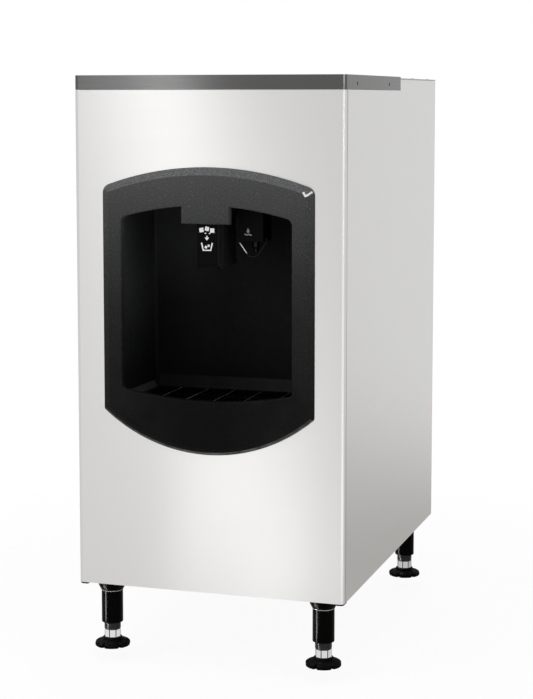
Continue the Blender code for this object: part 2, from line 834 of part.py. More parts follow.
def make_bezel():
    front = -BEZEL_PROUD
    back = -FIT
    rings = [
        ring_at(bezel_outline(0), back),
        ring_at(bezel_outline(0), -BEZEL_EDGE),
        ring_at(bezel_outline(BEZEL_SLOPE / 4), front + BEZEL_PROUD / 3),
        ring_at(bezel_outline(BEZEL_SLOPE), front),
    ]
    bezel = lofted("bezel", rings)
    pocket_depth = front + BEZEL_SKIN + BEZEL_SLOPE / 4
    pocket = plate(
        "bezel_pocket",
        [bezel_outline(BEZEL_RIM + BEZEL_SLOPE / 2), opening_outline(-BEZEL_RIM)],
        pocket_depth,
        OVERRUN,
        "back",
    )
    cut(bezel, pocket)
    opening_rings = [
        ring_at(opening_outline(0), OVERRUN * 2),
        ring_at(opening_outline(0), front + OPENING_CHAMFER),
        ring_at(opening_outline(-OPENING_CHAMFER), front),
        ring_at(opening_outline(-OPENING_CHAMFER * 2), front - OPENING_CHAMFER),
    ]
    cut(bezel, lofted("bezel_opening", opening_rings))
    return dress(smooth(bezel), BLACK_MOULDED)


def make_alcove_housing():
    half = ALCOVE_WIDTH / 2
    flange_front = SHEET + FIT
    flange_back = flange_front + MOULD_WALL
    housing = plate("alcove_housing", [bezel_outline(HOUSING_BORDER)], flange_front, flange_back, "back")
    low = (-half - MOULD_WALL, flange_front + MOULD_WALL / 2, ALCOVE_FLOOR - MOULD_WALL)
    high = (half + MOULD_WALL, ALCOVE_DEPTH + MOULD_WALL, CEILING_TOP)
    join(housing, box("alcove_box", low, high))
    room_low = (-half, -ALCOVE_CORNER * 2, ALCOVE_FLOOR)
    room = box("alcove_room", room_low, (half, ALCOVE_DEPTH, ALCOVE_CEILING))
    cut(housing, bevel(room, ALCOVE_CORNER, 2))
    sink_half = SINK_WIDTH / 2
    sink_low = (-sink_half, SINK_FRONT, ALCOVE_FLOOR - MOULD_WALL - OVERRUN)
    cut(housing, box("sink_cut_out", sink_low, (sink_half, SINK_BACK, ALCOVE_FLOOR + OVERRUN)))
    chute_half = CHUTE_CUT_WIDTH / 2
    chute_low = (-chute_half, -OVERRUN, ALCOVE_CEILING - OVERRUN)
    cut(housing, box("chute_cut_out", chute_low, (chute_half, CHUTE_CUT_DEPTH, CHUTE_CUT_TOP)))
    stub = through_hole(
        "stub_hole", WATER_OFFSET, NOZZLE_DEPTH, CEILING_TOP, INLET_RADIUS + FIT * 2, OVERRUN * 2, "up"
    )
    cut(housing, stub)
    return dress(housing, BLACK_MOULDED)


def make_drip_sink():
    half = SINK_WIDTH / 2 - FIT * 2
    front = SINK_FRONT + FIT * 2
    back = SINK_BACK - FIT * 2
    flange_low = ALCOVE_FLOOR + FIT
    rim = rectangle(-half - SINK_FLANGE, front - SINK_FLANGE, half + SINK_FLANGE, back + SINK_FLANGE)
    sink = plate("drip_sink", [rim], flange_low, flange_low + SINK_FLANGE_SHEET, "up")
    basin_top = flange_low + SINK_FLANGE_SHEET / 2
    join(sink, box("basin_outside", (-half, front, SINK_BOTTOM), (half, back, basin_top)))
    outlet_depth = (front + back) / 2
    outlet_low = (0, outlet_depth, SINK_BOTTOM - SINK_OUTLET_LENGTH)
    outlet_high = (0, outlet_depth, SINK_BOTTOM + SINK_WALL / 2)
    join(sink, cylinder("sink_outlet", SINK_OUTLET_RADIUS, outlet_low, outlet_high))
    upper = SINK_WALL
    upper_low = (-half + upper, front + upper, SINK_STEP_LEVEL)
    upper_high = (half - upper, back - upper, flange_low + OVERRUN)
    cut(sink, box("basin_rebate", upper_low, upper_high))
    lower = SINK_WALL + SINK_STEP
    lower_low = (-half + lower, front + lower, SINK_BOTTOM + SINK_WALL)
    lower_high = (half - lower, back - lower, flange_low + OVERRUN)
    cut(sink, box("basin_inside", lower_low, lower_high))
    reach = SINK_OUTLET_LENGTH + OVERRUN
    cut(sink, through_hole("outlet_bore", 0, outlet_depth, SINK_BOTTOM, SINK_OUTLET_BORE, reach, "up"))
    return dress(sink, BLACK_MOULDED)


def make_drip_grille(body):
    """A moulded grate: two rows of front-to-back slots either side of a middle bar."""
    inset = SINK_WALL + GRILLE_PLAY + FIT * 2
    half = SINK_WIDTH / 2 - inset
    front = SINK_FRONT + inset
    back = SINK_BACK - inset
    middle = (front + back) / 2
    first = -half + GRILLE_RIM
    pitch = (2 * half - 2 * GRILLE_RIM + GRILLE_RIB) / GRILLE_SLOTS
    loops = [rectangle(-half, front, half, back)]
    for i in range(GRILLE_SLOTS):
        left = first + pitch * i
        right = left + pitch - GRILLE_RIB
        loops.append(rectangle(left, front + GRILLE_RIM, right, middle - GRILLE_BAR / 2))
        loops.append(rectangle(left, middle + GRILLE_BAR / 2, right, back - GRILLE_RIM))
    low = SINK_STEP_LEVEL + FIT
    grille = plate("drip_grille", loops, low, low + GRILLE_HEIGHT, "up")
    return dress(grille, BLACK_MOULDED, body)


def make_drain_hose():
    outlet_depth = (SINK_FRONT + SINK_BACK) / 2
    start = SINK_BOTTOM - SINK_OUTLET_LENGTH - FIT
    end_depth = CABINET_DEPTH - SHEET - DRAIN_FITTING_INSIDE - FIT
    straight = HOSE_RADIUS * 2
    fall = start - DRAIN_LEVEL
    knots = [
        (0, outlet_depth, start),
        (0, outlet_depth, start - straight),
        (0, outlet_depth + fall / 4, start - fall / 2),
        (0, (outlet_depth + end_depth) / 2, DRAIN_LEVEL + fall / 6),
        (0, end_depth - straight, DRAIN_LEVEL),
        (0, end_depth, DRAIN_LEVEL),
    ]
    return dress(pipe("drain_hose", smooth_path(knots, HOSE_STEPS), HOSE_RADIUS), RUBBER)


# Ice chute and what carries it


def make_ice_chute(body):
    mouth = CHUTE_MOUTH_WIDTH / 2
    neck = CHUTE_WIDTH / 2
    lip = CHUTE_LIP_WIDTH / 2
    right = [
        (lip, CHUTE_BOTTOM),
        (neck, CHUTE_BOTTOM + CHUTE_LIP),
        (neck, CHUTE_NECK),
        (mouth, CHUTE_MOUTH_BACK - CHUTE_WALL),
        (mouth, HINGE_LEVEL),
    ]
    chute = plate("ice_chute", [right + mirrored(right)], 0, CHUTE_DEPTH, "back")
    foot = CHUTE_BOTTOM
    side_view = arc((CHUTE_ROUND, foot + CHUTE_ROUND), CHUTE_ROUND, pi, pi * 3 / 2, CORNER_STEPS)
    side_view += [
        (CHUTE_DEPTH, foot + CHUTE_WALL),
        (CHUTE_DEPTH, CHUTE_MOUTH_BACK),
        (HINGE_DEPTH + HINGE_BARREL, CHUTE_MOUTH_FRONT),
        (CHUTE_WALL, HINGE_LEVEL - PIN_RADIUS),
        (CHUTE_WALL, HINGE_LEVEL),
        (0, HINGE_LEVEL),
    ]
    keep_common(chute, plate("chute_side_view", [side_view], -mouth - OVERRUN, mouth + OVERRUN, "across"))
    barrel_start = (-mouth, HINGE_DEPTH, HINGE_LEVEL)
    barrel_end = (mouth, HINGE_DEPTH, HINGE_LEVEL)
    join(chute, cylinder("hinge_barrel", HINGE_BARREL, barrel_start, barrel_end))
    inner = [
        (lip - CHUTE_WALL, CHUTE_BOTTOM - OVERRUN),
        (neck - CHUTE_WALL, CHUTE_BOTTOM + CHUTE_LIP),
        (neck - CHUTE_WALL, CHUTE_NECK + CHUTE_WALL / 2),
        (mouth - CHUTE_WALL, CHUTE_MOUTH_BACK - CHUTE_WALL / 2),
        (mouth - CHUTE_WALL, HINGE_LEVEL + OVERRUN),
    ]
    passage = plate(
        "chute_passage", [inner + mirrored(inner)], CHUTE_WALL, CHUTE_DEPTH - CHUTE_WALL, "back"
    )
    guard_back = HINGE_DEPTH + HINGE_BARREL + CHUTE_WALL
    guard_low = (-mouth - OVERRUN, 0, HINGE_LEVEL - HINGE_BARREL - CHUTE_WALL)
    guard_high = (mouth + OVERRUN, guard_back, HINGE_LEVEL + OVERRUN * 2)
    cut(passage, box("barrel_guard", guard_low, guard_high))
    cut(chute, passage)
    lug_left = mouth - CHUTE_WALL / 2
    lug_level = SWITCH_BOTTOM - BUTTON_LENGTH / 2 - FIT - LUG_RADIUS
    lug_foot = (lug_left, LUG_DEPTH - LUG_RADIUS, CHUTE_MOUTH_BACK - CHUTE_WALL)
    join(chute, box("lug", lug_foot, (lug_left + LUG_WIDTH, LUG_DEPTH + LUG_RADIUS, lug_level)))
    nose_start = (lug_left, LUG_DEPTH, lug_level)
    nose_end = (lug_left + LUG_WIDTH, LUG_DEPTH, lug_level)
    join(chute, cylinder("lug_nose", LUG_RADIUS, nose_start, nose_end))
    bore_reach = mouth + OVERRUN
    cut(
        chute,
        through_hole("hinge_bore", 0, HINGE_DEPTH, HINGE_LEVEL, PIN_RADIUS + FIT, bore_reach, "across"),
    )
    return dress(chute, BLACK_GLOSS, body)


def make_chute_pivot_pin():
    half = PIN_LENGTH / 2
    start = (-half, HINGE_DEPTH, HINGE_LEVEL)
    pin = cylinder("chute_pivot_pin", PIN_RADIUS, start, (half, HINGE_DEPTH, HINGE_LEVEL))
    return dress(pin, CHROME)


def make_chute_bracket():
    """A ring plate on the alcove's ceiling with two ears that hold the chute's pin."""
    low = CEILING_TOP + FIT
    high = low + BRACKET_SHEET
    front = SHEET + MOULD_WALL + FIT * 2
    half = BRACKET_WIDTH / 2
    slot = BRACKET_SLOT_WIDTH / 2
    narrow = CHUTE_MOUTH_WIDTH / 2 + EAR_SIDE_PLAY
    step = EAR_BACK + FIT
    right = [
        (narrow, front),
        (half, front),
        (half, BRACKET_BACK),
        (0, BRACKET_BACK),
    ]
    inner = [(0, CHUTE_CUT_DEPTH), (slot, CHUTE_CUT_DEPTH), (slot, step), (narrow, step)]
    outline = right + mirrored(right)[1:]
    outline += [(-x, depth) for x, depth in reversed(inner)][:-1] + inner
    bracket = plate("chute_bracket", [outline], low, high, "up")
    for side in (-1, 1):
        name = "ear_right" if side > 0 else "ear_left"
        near = side * narrow
        far = side * (narrow + EAR_SHEET)
        ear_low = (min(near, far), EAR_FRONT, low)
        ear = box(name, ear_low, (max(near, far), EAR_BACK, EAR_TOP))
        join(bracket, ear)
    hole = through_hole("ear_holes", 0, HINGE_DEPTH, HINGE_LEVEL, PIN_RADIUS + FIT, PIN_LENGTH, "across")
    cut(bracket, hole)
    return dress(bracket, GALVANISED)


# Throat, gate and switch


def throat_outline():
    back = BIN_FRONT - FIT
    return [
        (THROAT_FRONT, THROAT_EXIT),
        (THROAT_HEEL_DEPTH, THROAT_EXIT),
        (THROAT_HEEL_DEPTH, THROAT_HEEL),
        (THROAT_BEND, THROAT_MOUTH_BOTTOM),
        (back, THROAT_MOUTH_BOTTOM),
        (back, THROAT_MOUTH_TOP),
        (THROAT_BEND, THROAT_MOUTH_TOP),
        (THROAT_SHOULDER_DEPTH, THROAT_SHOULDER),
        (THROAT_FRONT, THROAT_BROW),
    ]


def make_ice_throat():
    half = THROAT_WIDTH / 2
    throat = plate("ice_throat", [throat_outline()], -half, half, "across")
    inner = inset_polygon(throat_outline(), THROAT_WALL)
    reach = THROAT_WALL + OVERRUN
    inner[0] = (inner[0][0], inner[0][1] - reach)
    inner[1] = (inner[1][0], inner[1][1] - reach)
    inner[4] = (inner[4][0] + reach, inner[4][1])
    inner[5] = (inner[5][0] + reach, inner[5][1])
    inner_half = half - THROAT_WALL
    cut(throat, plate("throat_passage", [inner], -inner_half, inner_half, "across"))
    reach = half + OVERRUN
    cut(
        throat,
        through_hole("gate_holes", 0, GATE_DEPTH, GATE_LEVEL, GATE_PIN_RADIUS + FIT, reach, "across"),
    )
    return dress(throat, WHITE_MOULDED)


def gate_lean():
    """How far the closed flap leans back from hanging straight down, square to the throat's floor."""
    return atan2(THROAT_MOUTH_BOTTOM - THROAT_HEEL, THROAT_BEND - THROAT_HEEL_DEPTH)


def make_gate_flap(body):
    half = THROAT_WIDTH / 2 - THROAT_WALL - GATE_SIDE_PLAY
    hub = cylinder("gate_flap", GATE_HUB, (-half, GATE_DEPTH, GATE_LEVEL), (half, GATE_DEPTH, GATE_LEVEL))
    lean = gate_lean()
    down = Vector((sin(lean), -cos(lean)))
    across = Vector((cos(lean), sin(lean))) * GATE_SHEET / 2
    axis = Vector((GATE_DEPTH, GATE_LEVEL))
    tip = axis + down * GATE_LENGTH
    blade = [tuple(axis - across), tuple(tip - across), tuple(tip + across), tuple(axis + across)]
    join(hub, plate("flap_blade", [blade], -half, half, "across"))
    bore_reach = half + OVERRUN
    bore = GATE_PIN_RADIUS + FIT
    cut(hub, through_hole("flap_bore", 0, GATE_DEPTH, GATE_LEVEL, bore, bore_reach, "across"))
    return dress(hub, WHITE_MOULDED, body)


def crank_tip():
    """The crank pin's centre at rest, half the swing ahead of upright."""
    turn = radians(GATE_SWING) / 2
    return GATE_DEPTH - CRANK_RADIUS * sin(turn), GATE_LEVEL + CRANK_RADIUS * cos(turn)


def crank_inner():
    return THROAT_WIDTH / 2 + GATE_SIDE_PLAY * 2


def make_gate_crank(body):
    """The gate's pin with its crank arm and the crank's own pin, outside the throat's right wall."""
    inner = crank_inner()
    outer = inner + CRANK_SHEET
    left = -THROAT_WIDTH / 2 - GATE_SIDE_PLAY * 2
    axle_end = (outer - CRANK_SHEET / 2, GATE_DEPTH, GATE_LEVEL)
    crank = cylinder("gate_crank", GATE_PIN_RADIUS, (left, GATE_DEPTH, GATE_LEVEL), axle_end)
    depth, height = crank_tip()
    turn = radians(GATE_SWING) / 2
    centre = (GATE_DEPTH, GATE_LEVEL)
    half = CRANK_WIDTH / 2
    outline = arc((depth, height), half, turn, turn + pi, CORNER_STEPS * 2)
    outline += arc(centre, half, turn + pi, turn + tau, CORNER_STEPS * 2)
    join(crank, plate("crank_arm", [outline], inner, outer, "across"))
    pin_start = (outer - CRANK_SHEET / 2, depth, height)
    pin_end = (outer + CRANK_PIN_LENGTH, depth, height)
    join(crank, cylinder("crank_pin", CRANK_PIN_RADIUS, pin_start, pin_end))
    return dress(crank, CHROME, body)


def plunger_x():
    return crank_inner() + CRANK_SHEET + CRANK_PLAY * 2 + FORK_WIDTH / 2


def make_solenoid_plunger(body):
    """The plunger rod with a slotted end that the crank pin works in."""
    x = plunger_x()
    depth, height = crank_tip()
    rise = CRANK_RADIUS * (1 - cos(radians(GATE_SWING) / 2))
    slot_half = CRANK_PIN_RADIUS + CRANK_PLAY
    low = (x - FORK_WIDTH / 2, depth - FORK_LENGTH / 2, height + rise / 2 - FORK_HEIGHT / 2)
    high = (x + FORK_WIDTH / 2, depth + FORK_LENGTH / 2, height + rise / 2 + FORK_HEIGHT / 2)
    fork = box("solenoid_plunger", low, high)
    rod_start = depth + FORK_LENGTH / 2 - CRANK_PLAY
    rod_level = height + rise / 2
    rod_end = (x, rod_start + PLUNGER_LENGTH, rod_level)
    join(fork, cylinder("plunger_rod", PLUNGER_RADIUS, (x, rod_start, rod_level), rod_end))
    slot_low = (x - FORK_WIDTH, depth - slot_half, height - slot_half)
    slot_high = (x + FORK_WIDTH, depth + slot_half, height + rise + slot_half)
    cut(fork, box("fork_slot", slot_low, slot_high))
    return dress(smooth(fork), CHROME, body)


def make_gate_solenoid():
    """The coil block on the throat's side wall; the plunger slides in its bore."""
    x = plunger_x()
    depth, height = crank_tip()
    level = height + CRANK_RADIUS * (1 - cos(radians(GATE_SWING) / 2)) / 2
    travel = 2 * CRANK_RADIUS * sin(radians(GATE_SWING) / 2)
    front = depth + FORK_LENGTH / 2 + travel + CRANK_PLAY * 2
    inner = THROAT_WIDTH / 2 + FIT
    low = (inner, front, level - SOLENOID_HEIGHT / 2)
    high = (inner + SOLENOID_WIDTH, front + SOLENOID_LENGTH, level + SOLENOID_HEIGHT / 2)
    solenoid = bevel(box("gate_solenoid", low, high), SOLENOID_ROUND, 1)
    bore = through_hole("plunger_bore", x, front, level, PLUNGER_RADIUS + FIT, PLUNGER_LENGTH, "back")
    cut(solenoid, bore)
    return dress(solenoid, MOTOR_GREY)


def switch_x():
    return THROAT_WIDTH / 2 + FIT + SWITCH_WIDTH / 2


def make_ice_switch():
    x = switch_x()
    low = (x - SWITCH_WIDTH / 2, SWITCH_FRONT, SWITCH_BOTTOM)
    high = (x + SWITCH_WIDTH / 2, SWITCH_FRONT + SWITCH_LENGTH, SWITCH_BOTTOM + SWITCH_HEIGHT)
    body = box("ice_switch", low, high)
    well = (x, LUG_DEPTH, SWITCH_BOTTOM - OVERRUN)
    well_end = (x, LUG_DEPTH, SWITCH_BOTTOM + BUTTON_LENGTH - FIT)
    cut(body, cylinder("button_well", BUTTON_RADIUS + FIT, well, well_end))
    return dress(body, BLACK_MOULDED)


def make_switch_button(body):
    x = switch_x()
    low = SWITCH_BOTTOM - BUTTON_LENGTH / 2
    button_top = (x, LUG_DEPTH, low + BUTTON_LENGTH)
    button = cylinder("ice_switch_button", BUTTON_RADIUS, (x, LUG_DEPTH, low), button_top)
    return dress(button, ACETAL, body)


# Bin and paddle wheel drive


def trough_outline():
    """The bin's inside seen from the front: a half-round trough that widens to upright walls."""
    wide = BIN_HALF - BIN_WALL
    right = [(wide, TROUGH_SHOULDER), (wide, PANEL_TOP + OVERRUN)]
    return arc((0, WHEEL_LEVEL), TROUGH_RADIUS, pi, tau, TROUGH_STEPS) + right + mirrored(right)


def make_ice_bin():
    """An insulated, one-piece bin whose trough fits round the paddle wheel and slopes up at the back."""
    low = (-BIN_HALF, BIN_FRONT, BIN_BOTTOM)
    high = (BIN_HALF, BIN_BACK, PANEL_TOP)
    ice_bin = bevel(box("ice_bin", low, high), BIN_EDGE, 1)
    back = BIN_BACK - BIN_WALL
    floor = WHEEL_LEVEL - TROUGH_RADIUS - OVERRUN
    side_view = [
        (BIN_INSIDE, floor),
        (BIN_SLOPE_FOOT, floor),
        (back, BIN_SLOPE_TOP),
        (back, PANEL_TOP + OVERRUN * 2),
        (BIN_INSIDE, PANEL_TOP + OVERRUN * 2),
    ]
    room = plate("bin_room", [trough_outline()], BIN_INSIDE, back, "back")
    keep_common(room, plate("bin_side_view", [side_view], -HALF_WIDTH, HALF_WIDTH, "across"))
    cut(ice_bin, room)
    window_half = THROAT_WIDTH / 2 - THROAT_WALL
    window_low = (-window_half, BIN_FRONT - OVERRUN, THROAT_MOUTH_BOTTOM + THROAT_WALL)
    window_high = (window_half, BIN_INSIDE + OVERRUN, THROAT_MOUTH_TOP - THROAT_WALL)
    cut(ice_bin, box("outlet_window", window_low, window_high))
    middle = (BIN_FRONT + BIN_INSIDE) / 2
    bore = BEARING_RADIUS + FIT
    cut(ice_bin, through_hole("bearing_hole", 0, middle, WHEEL_LEVEL, bore, BIN_WALL, "back", LARGE_SIDES))
    return dress(ice_bin, WHITE_MOULDED)


def make_bin_shelf():
    """A folded shelf between the side panels that carries the bin."""
    half = HALF_WIDTH - SHEET - FIT
    top = BIN_BOTTOM - FIT
    low = (-half, BIN_FRONT, top - SHELF_FLANGE)
    high = (half, SIDE_BACK - SHEET - FIT, top)
    shelf = box("bin_shelf", low, high)
    inner = half - SHELF_SHEET
    under_low = (-inner, BIN_FRONT - OVERRUN, top - SHELF_FLANGE - OVERRUN)
    cut(shelf, box("shelf_underside", under_low, (inner, CABINET_DEPTH, top - SHELF_SHEET)))
    return dress(shelf, GALVANISED)


def make_paddle_wheel(body):
    """A hub with straight blades, whose open pockets lift the ice to the outlet window."""
    back = WHEEL_FRONT + WHEEL_WIDTH
    middle = (WHEEL_FRONT + back) / 2
    wheel_start = (0, WHEEL_FRONT, WHEEL_LEVEL)
    wheel = cylinder("paddle_wheel", WHEEL_HUB, wheel_start, (0, back, WHEEL_LEVEL), LARGE_SIDES)
    for i in range(WHEEL_BLADES):
        turn = tau * (i + 1 / 2) / WHEEL_BLADES
        out = Vector((cos(turn), sin(turn)))
        along = Vector((-sin(turn), cos(turn))) * WHEEL_BLADE / 2
        centre = Vector((0, WHEEL_LEVEL))
        start = centre + out * (WHEEL_HUB - WHEEL_BLADE)
        end = centre + out * WHEEL_RADIUS
        outline = [tuple(start - along), tuple(end - along), tuple(end + along), tuple(start + along)]
        join(wheel, plate(f"blade_{i + 1}", [outline], WHEEL_FRONT + WHEEL_PLAY, back - WHEEL_PLAY, "back"))
    reach = WHEEL_WIDTH / 2 + OVERRUN
    cut(wheel, through_hole("wheel_bore", 0, middle, WHEEL_LEVEL, SHAFT_RADIUS + FIT, reach, "back"))
    return dress(smooth(wheel), WHITE_MOULDED, body)


def make_agitator(body):
    """A sleeve on the shaft with crossed rods that stir the ice behind the wheel."""
    back = AGITATOR_FRONT + AGITATOR_LENGTH
    sleeve = cylinder("agitator", AGITATOR_HUB, (0, AGITATOR_FRONT, WHEEL_LEVEL), (0, back, WHEEL_LEVEL))
    pitch = AGITATOR_LENGTH / AGITATOR_ARMS
    for i in range(AGITATOR_ARMS):
        depth = AGITATOR_FRONT + pitch * (i + 1 / 2)
        turn = radians(AGITATOR_STEP) * i
        x = AGITATOR_ARM * cos(turn)
        rise = AGITATOR_ARM * sin(turn)
        rod_start = (-x, depth, WHEEL_LEVEL - rise)
        join(sleeve, cylinder(f"rod_{i + 1}", AGITATOR_ROD, rod_start, (x, depth, WHEEL_LEVEL + rise)))
    middle = (AGITATOR_FRONT + back) / 2
    reach = AGITATOR_LENGTH / 2 + OVERRUN
    cut(sleeve, through_hole("agitator_bore", 0, middle, WHEEL_LEVEL, SHAFT_RADIUS + FIT, reach, "back"))
    return dress(sleeve, STAINLESS, body)


def make_drive_shaft(body):
    front = GEARBOX_BACK - SHAFT_INSERT
    shaft = cylinder("drive_shaft", SHAFT_RADIUS, (0, front, WHEEL_LEVEL), (0, SHAFT_BACK, WHEEL_LEVEL))
    return dress(shaft, STAINLESS, body)


def make_shaft_bearing():
    """A flanged bush pressed into the bin's front wall from inside."""
    bore = SHAFT_RADIUS + FIT
    length = BIN_WALL + FIT + BEARING_FLANGE_SHEET
    profile = [
        (bore, length),
        (BEARING_FLANGE, length),
        (BEARING_FLANGE, length - BEARING_FLANGE_SHEET),
        (BEARING_RADIUS, length - BEARING_FLANGE_SHEET),
        (BEARING_RADIUS, 0),
        (bore, 0),
    ]
    place = (0, BIN_FRONT, WHEEL_LEVEL)
    return dress(turned("shaft_bearing", profile, place, (0, 1, 0), LARGE_SIDES, closed=True), ACETAL)


def make_gearbox_mount():
    half = GEARBOX_WIDTH / 2 + MOUNT_BORDER
    top = WHEEL_LEVEL + GEARBOX_ABOVE + MOUNT_BORDER
    bottom = top - GEARBOX_HEIGHT - MOUNT_BORDER * 2
    mount = box("gearbox_mount", (-half, MOUNT_FRONT, bottom), (half, MOUNT_FRONT + MOUNT_SHEET, top))
    hole = through_hole(
        "mount_hole", 0, MOUNT_FRONT, WHEEL_LEVEL, SHAFT_RADIUS + MOUNT_SHEET, MOUNT_SHEET * 2, "back"
    )
    cut(mount, hole)
    return dress(mount, GALVANISED)


def make_gearbox():
    half = GEARBOX_WIDTH / 2
    top = WHEEL_LEVEL + GEARBOX_ABOVE
    gearbox = box("gearbox", (-half, GEARBOX_FRONT, top - GEARBOX_HEIGHT), (half, GEARBOX_BACK, top))
    bevel(gearbox, GEARBOX_ROUND, 2)
    reach = SHAFT_INSERT + FIT
    bore = SHAFT_RADIUS + FIT
    cut(gearbox, through_hole("output_bore", 0, GEARBOX_BACK, WHEEL_LEVEL, bore, reach, "back"))
    return dress(gearbox, MOTOR_GREY)


def make_gear_motor():
    level = WHEEL_LEVEL - MOTOR_DROP
    cap = MOTOR_RADIUS - MOTOR_CAP
    profile = [
        (0, MOTOR_LENGTH),
        (cap, MOTOR_LENGTH),
        (MOTOR_RADIUS, MOTOR_LENGTH - MOTOR_CAP),
        (MOTOR_RADIUS, MOTOR_CAP),
        (cap, MOTOR_CAP),
        (cap, 0),
        (0, 0),
    ]
    place = (0, GEARBOX_FRONT - FIT, level)
    return dress(turned("gear_motor", profile, place, (0, -1, 0), LARGE_SIDES), MOTOR_GREY)


# Water side


def make_water_valve():
    half = VALVE_WIDTH / 2
    low = (WATER_OFFSET - half, VALVE_FRONT, VALVE_BOTTOM)
    high = (WATER_OFFSET + half, VALVE_FRONT + VALVE_DEPTH, ALCOVE_CEILING - FIT)
    valve = bevel(box("water_valve", low, high), VALVE_ROUND, 2)
    stub_start = (WATER_OFFSET, NOZZLE_DEPTH, ALCOVE_CEILING - OVERRUN)
    stub_end = (WATER_OFFSET, NOZZLE_DEPTH, ALCOVE_CEILING + INLET_LENGTH)
    join(valve, cylinder("inlet_stub", INLET_RADIUS, stub_start, stub_end))
    reach = half + OVERRUN
    bore = LEVER_WIRE + FIT
    cut(
        valve,
        through_hole("lever_bore", WATER_OFFSET, LEVER_DEPTH, LEVER_LEVEL, bore, reach, "across"),
    )
    return dress(valve, BLACK_MOULDED)


def make_water_nozzle():
    profile = [
        (NOZZLE_BORE, NOZZLE_LENGTH),
        (NOZZLE_RADIUS, NOZZLE_LENGTH),
        (NOZZLE_RADIUS, NOZZLE_LENGTH / 2),
        (NOZZLE_TIP_RADIUS, NOZZLE_LENGTH / 3),
        (NOZZLE_TIP_RADIUS, 0),
        (NOZZLE_BORE, 0),
    ]
    place = (WATER_OFFSET, NOZZLE_DEPTH, VALVE_BOTTOM - FIT - NOZZLE_LENGTH)
    return dress(turned("water_nozzle", profile, place, closed=True), CHROME)


def make_water_lever(body):
    """A wire bail that hangs from the valve's two sides."""
    side = VALVE_WIDTH / 2 + LEVER_WIRE * 2
    foot = LEVER_LEVEL - LEVER_DROP
    stub = side - LEVER_WIRE - LEVER_STUB
    right = [
        (stub, LEVER_LEVEL),
        (side - LEVER_WIRE, LEVER_LEVEL),
        (side, LEVER_LEVEL - LEVER_WIRE),
        (side, LEVER_LEVEL - LEVER_DROP / 6),
        (side / 3, foot + LEVER_DROP / 12),
        (side / 6, foot),
    ]
    outline = [(x, height) for x, height in right] + [(-x, height) for x, height in reversed(right)]
    points = [(WATER_OFFSET + x, LEVER_DEPTH, height) for x, height in outline]
    return dress(pipe("water_lever", points, LEVER_WIRE), CHROME, body)


def solenoid_valve_back():
    return CABINET_DEPTH - SHEET - FITTING_INSIDE - FIT


def make_water_solenoid_valve():
    """The valve body in line with the inlet, its coil standing on top."""
    back = solenoid_valve_back()
    front = back - SOLENOID_VALVE_LENGTH
    x = SOLENOID_VALVE_OFFSET
    level = SOLENOID_VALVE_LEVEL
    valve = cylinder("water_solenoid_valve", SOLENOID_VALVE_RADIUS, (x, front, level), (x, back, level))
    middle = (front + back) / 2
    top = level + SOLENOID_VALVE_RADIUS + SOLENOID_COIL_HEIGHT
    join(valve, cylinder("valve_coil", SOLENOID_COIL_RADIUS, (x, middle, level), (x, middle, top)))
    return dress(valve, WHITE_MOULDED)


def make_water_tube():
    """From the solenoid valve, under the bin, up past the alcove and over it to the water valve."""
    start = solenoid_valve_back() - SOLENOID_VALVE_LENGTH - FIT
    x = SOLENOID_VALVE_OFFSET
    level = SOLENOID_VALVE_LEVEL
    aisle = -(ALCOVE_WIDTH / 2 + MOULD_WALL + HALF_WIDTH - SHEET) / 2
    rise = ALCOVE_DEPTH - TUBE_RADIUS * 4
    roof = CEILING_TOP + TUBE_ROOF
    stub_top = ALCOVE_CEILING + INLET_LENGTH + FIT
    knots = [
        (x, start, level),
        (x, start - TUBE_BEND, level),
        ((x + aisle) / 2, start - TUBE_BEND * 2, level),
        (aisle, start - TUBE_BEND * 4, level),
        (aisle, rise + TUBE_BEND * 3, level),
        (aisle, rise + TUBE_BEND, level + TUBE_BEND),
        (aisle, rise, level + TUBE_BEND * 3),
        (aisle, rise, roof - TUBE_BEND * 2),
        (aisle + TUBE_BEND / 3, rise, roof - TUBE_BEND / 3),
        (aisle + TUBE_BEND * 2, rise, roof),
        (WATER_OFFSET - TUBE_BEND, rise, roof),
        (WATER_OFFSET, rise - TUBE_BEND, roof),
        (WATER_OFFSET, NOZZLE_DEPTH + TUBE_BEND / 2, stub_top + TUBE_BEND * 3 / 4),
        (WATER_OFFSET, NOZZLE_DEPTH, stub_top + TUBE_BEND / 2),
        (WATER_OFFSET, NOZZLE_DEPTH, stub_top),
    ]
    return dress(pipe("water_tube", smooth_path(knots, TUBE_STEPS), TUBE_RADIUS), WHITE_MOULDED)


def through_fitting(name, radius, flange, bore, inside, x, level, finish):
    """A fitting whose flange lies on the back panel's outside and whose stub passes through it."""
    profile = [
        (bore, FITTING_PROUD),
        (radius - FITTING_CHAMFER, FITTING_PROUD),
        (radius, FITTING_PROUD - FITTING_CHAMFER),
        (radius, FITTING_FLANGE_SHEET + FIT),
        (flange, FITTING_FLANGE_SHEET + FIT),
        (flange, FIT),
        (radius, FIT),
        (radius, -SHEET - inside),
        (bore, -SHEET - inside),
    ]
    place = (x, CABINET_DEPTH, level)
    return dress(turned(name, profile, place, (0, 1, 0), closed=True), finish)


def make_back_fittings():
    through_fitting(
        "water_inlet_fitting", FITTING_RADIUS, FITTING_FLANGE, FITTING_BORE, FITTING_INSIDE,
        SOLENOID_VALVE_OFFSET, SOLENOID_VALVE_LEVEL, BRASS,
    )
    through_fitting(
        "drain_fitting", DRAIN_FITTING_RADIUS, DRAIN_FLANGE, DRAIN_BORE, DRAIN_FITTING_INSIDE,
        0, DRAIN_LEVEL, BLACK_MOULDED,
    )


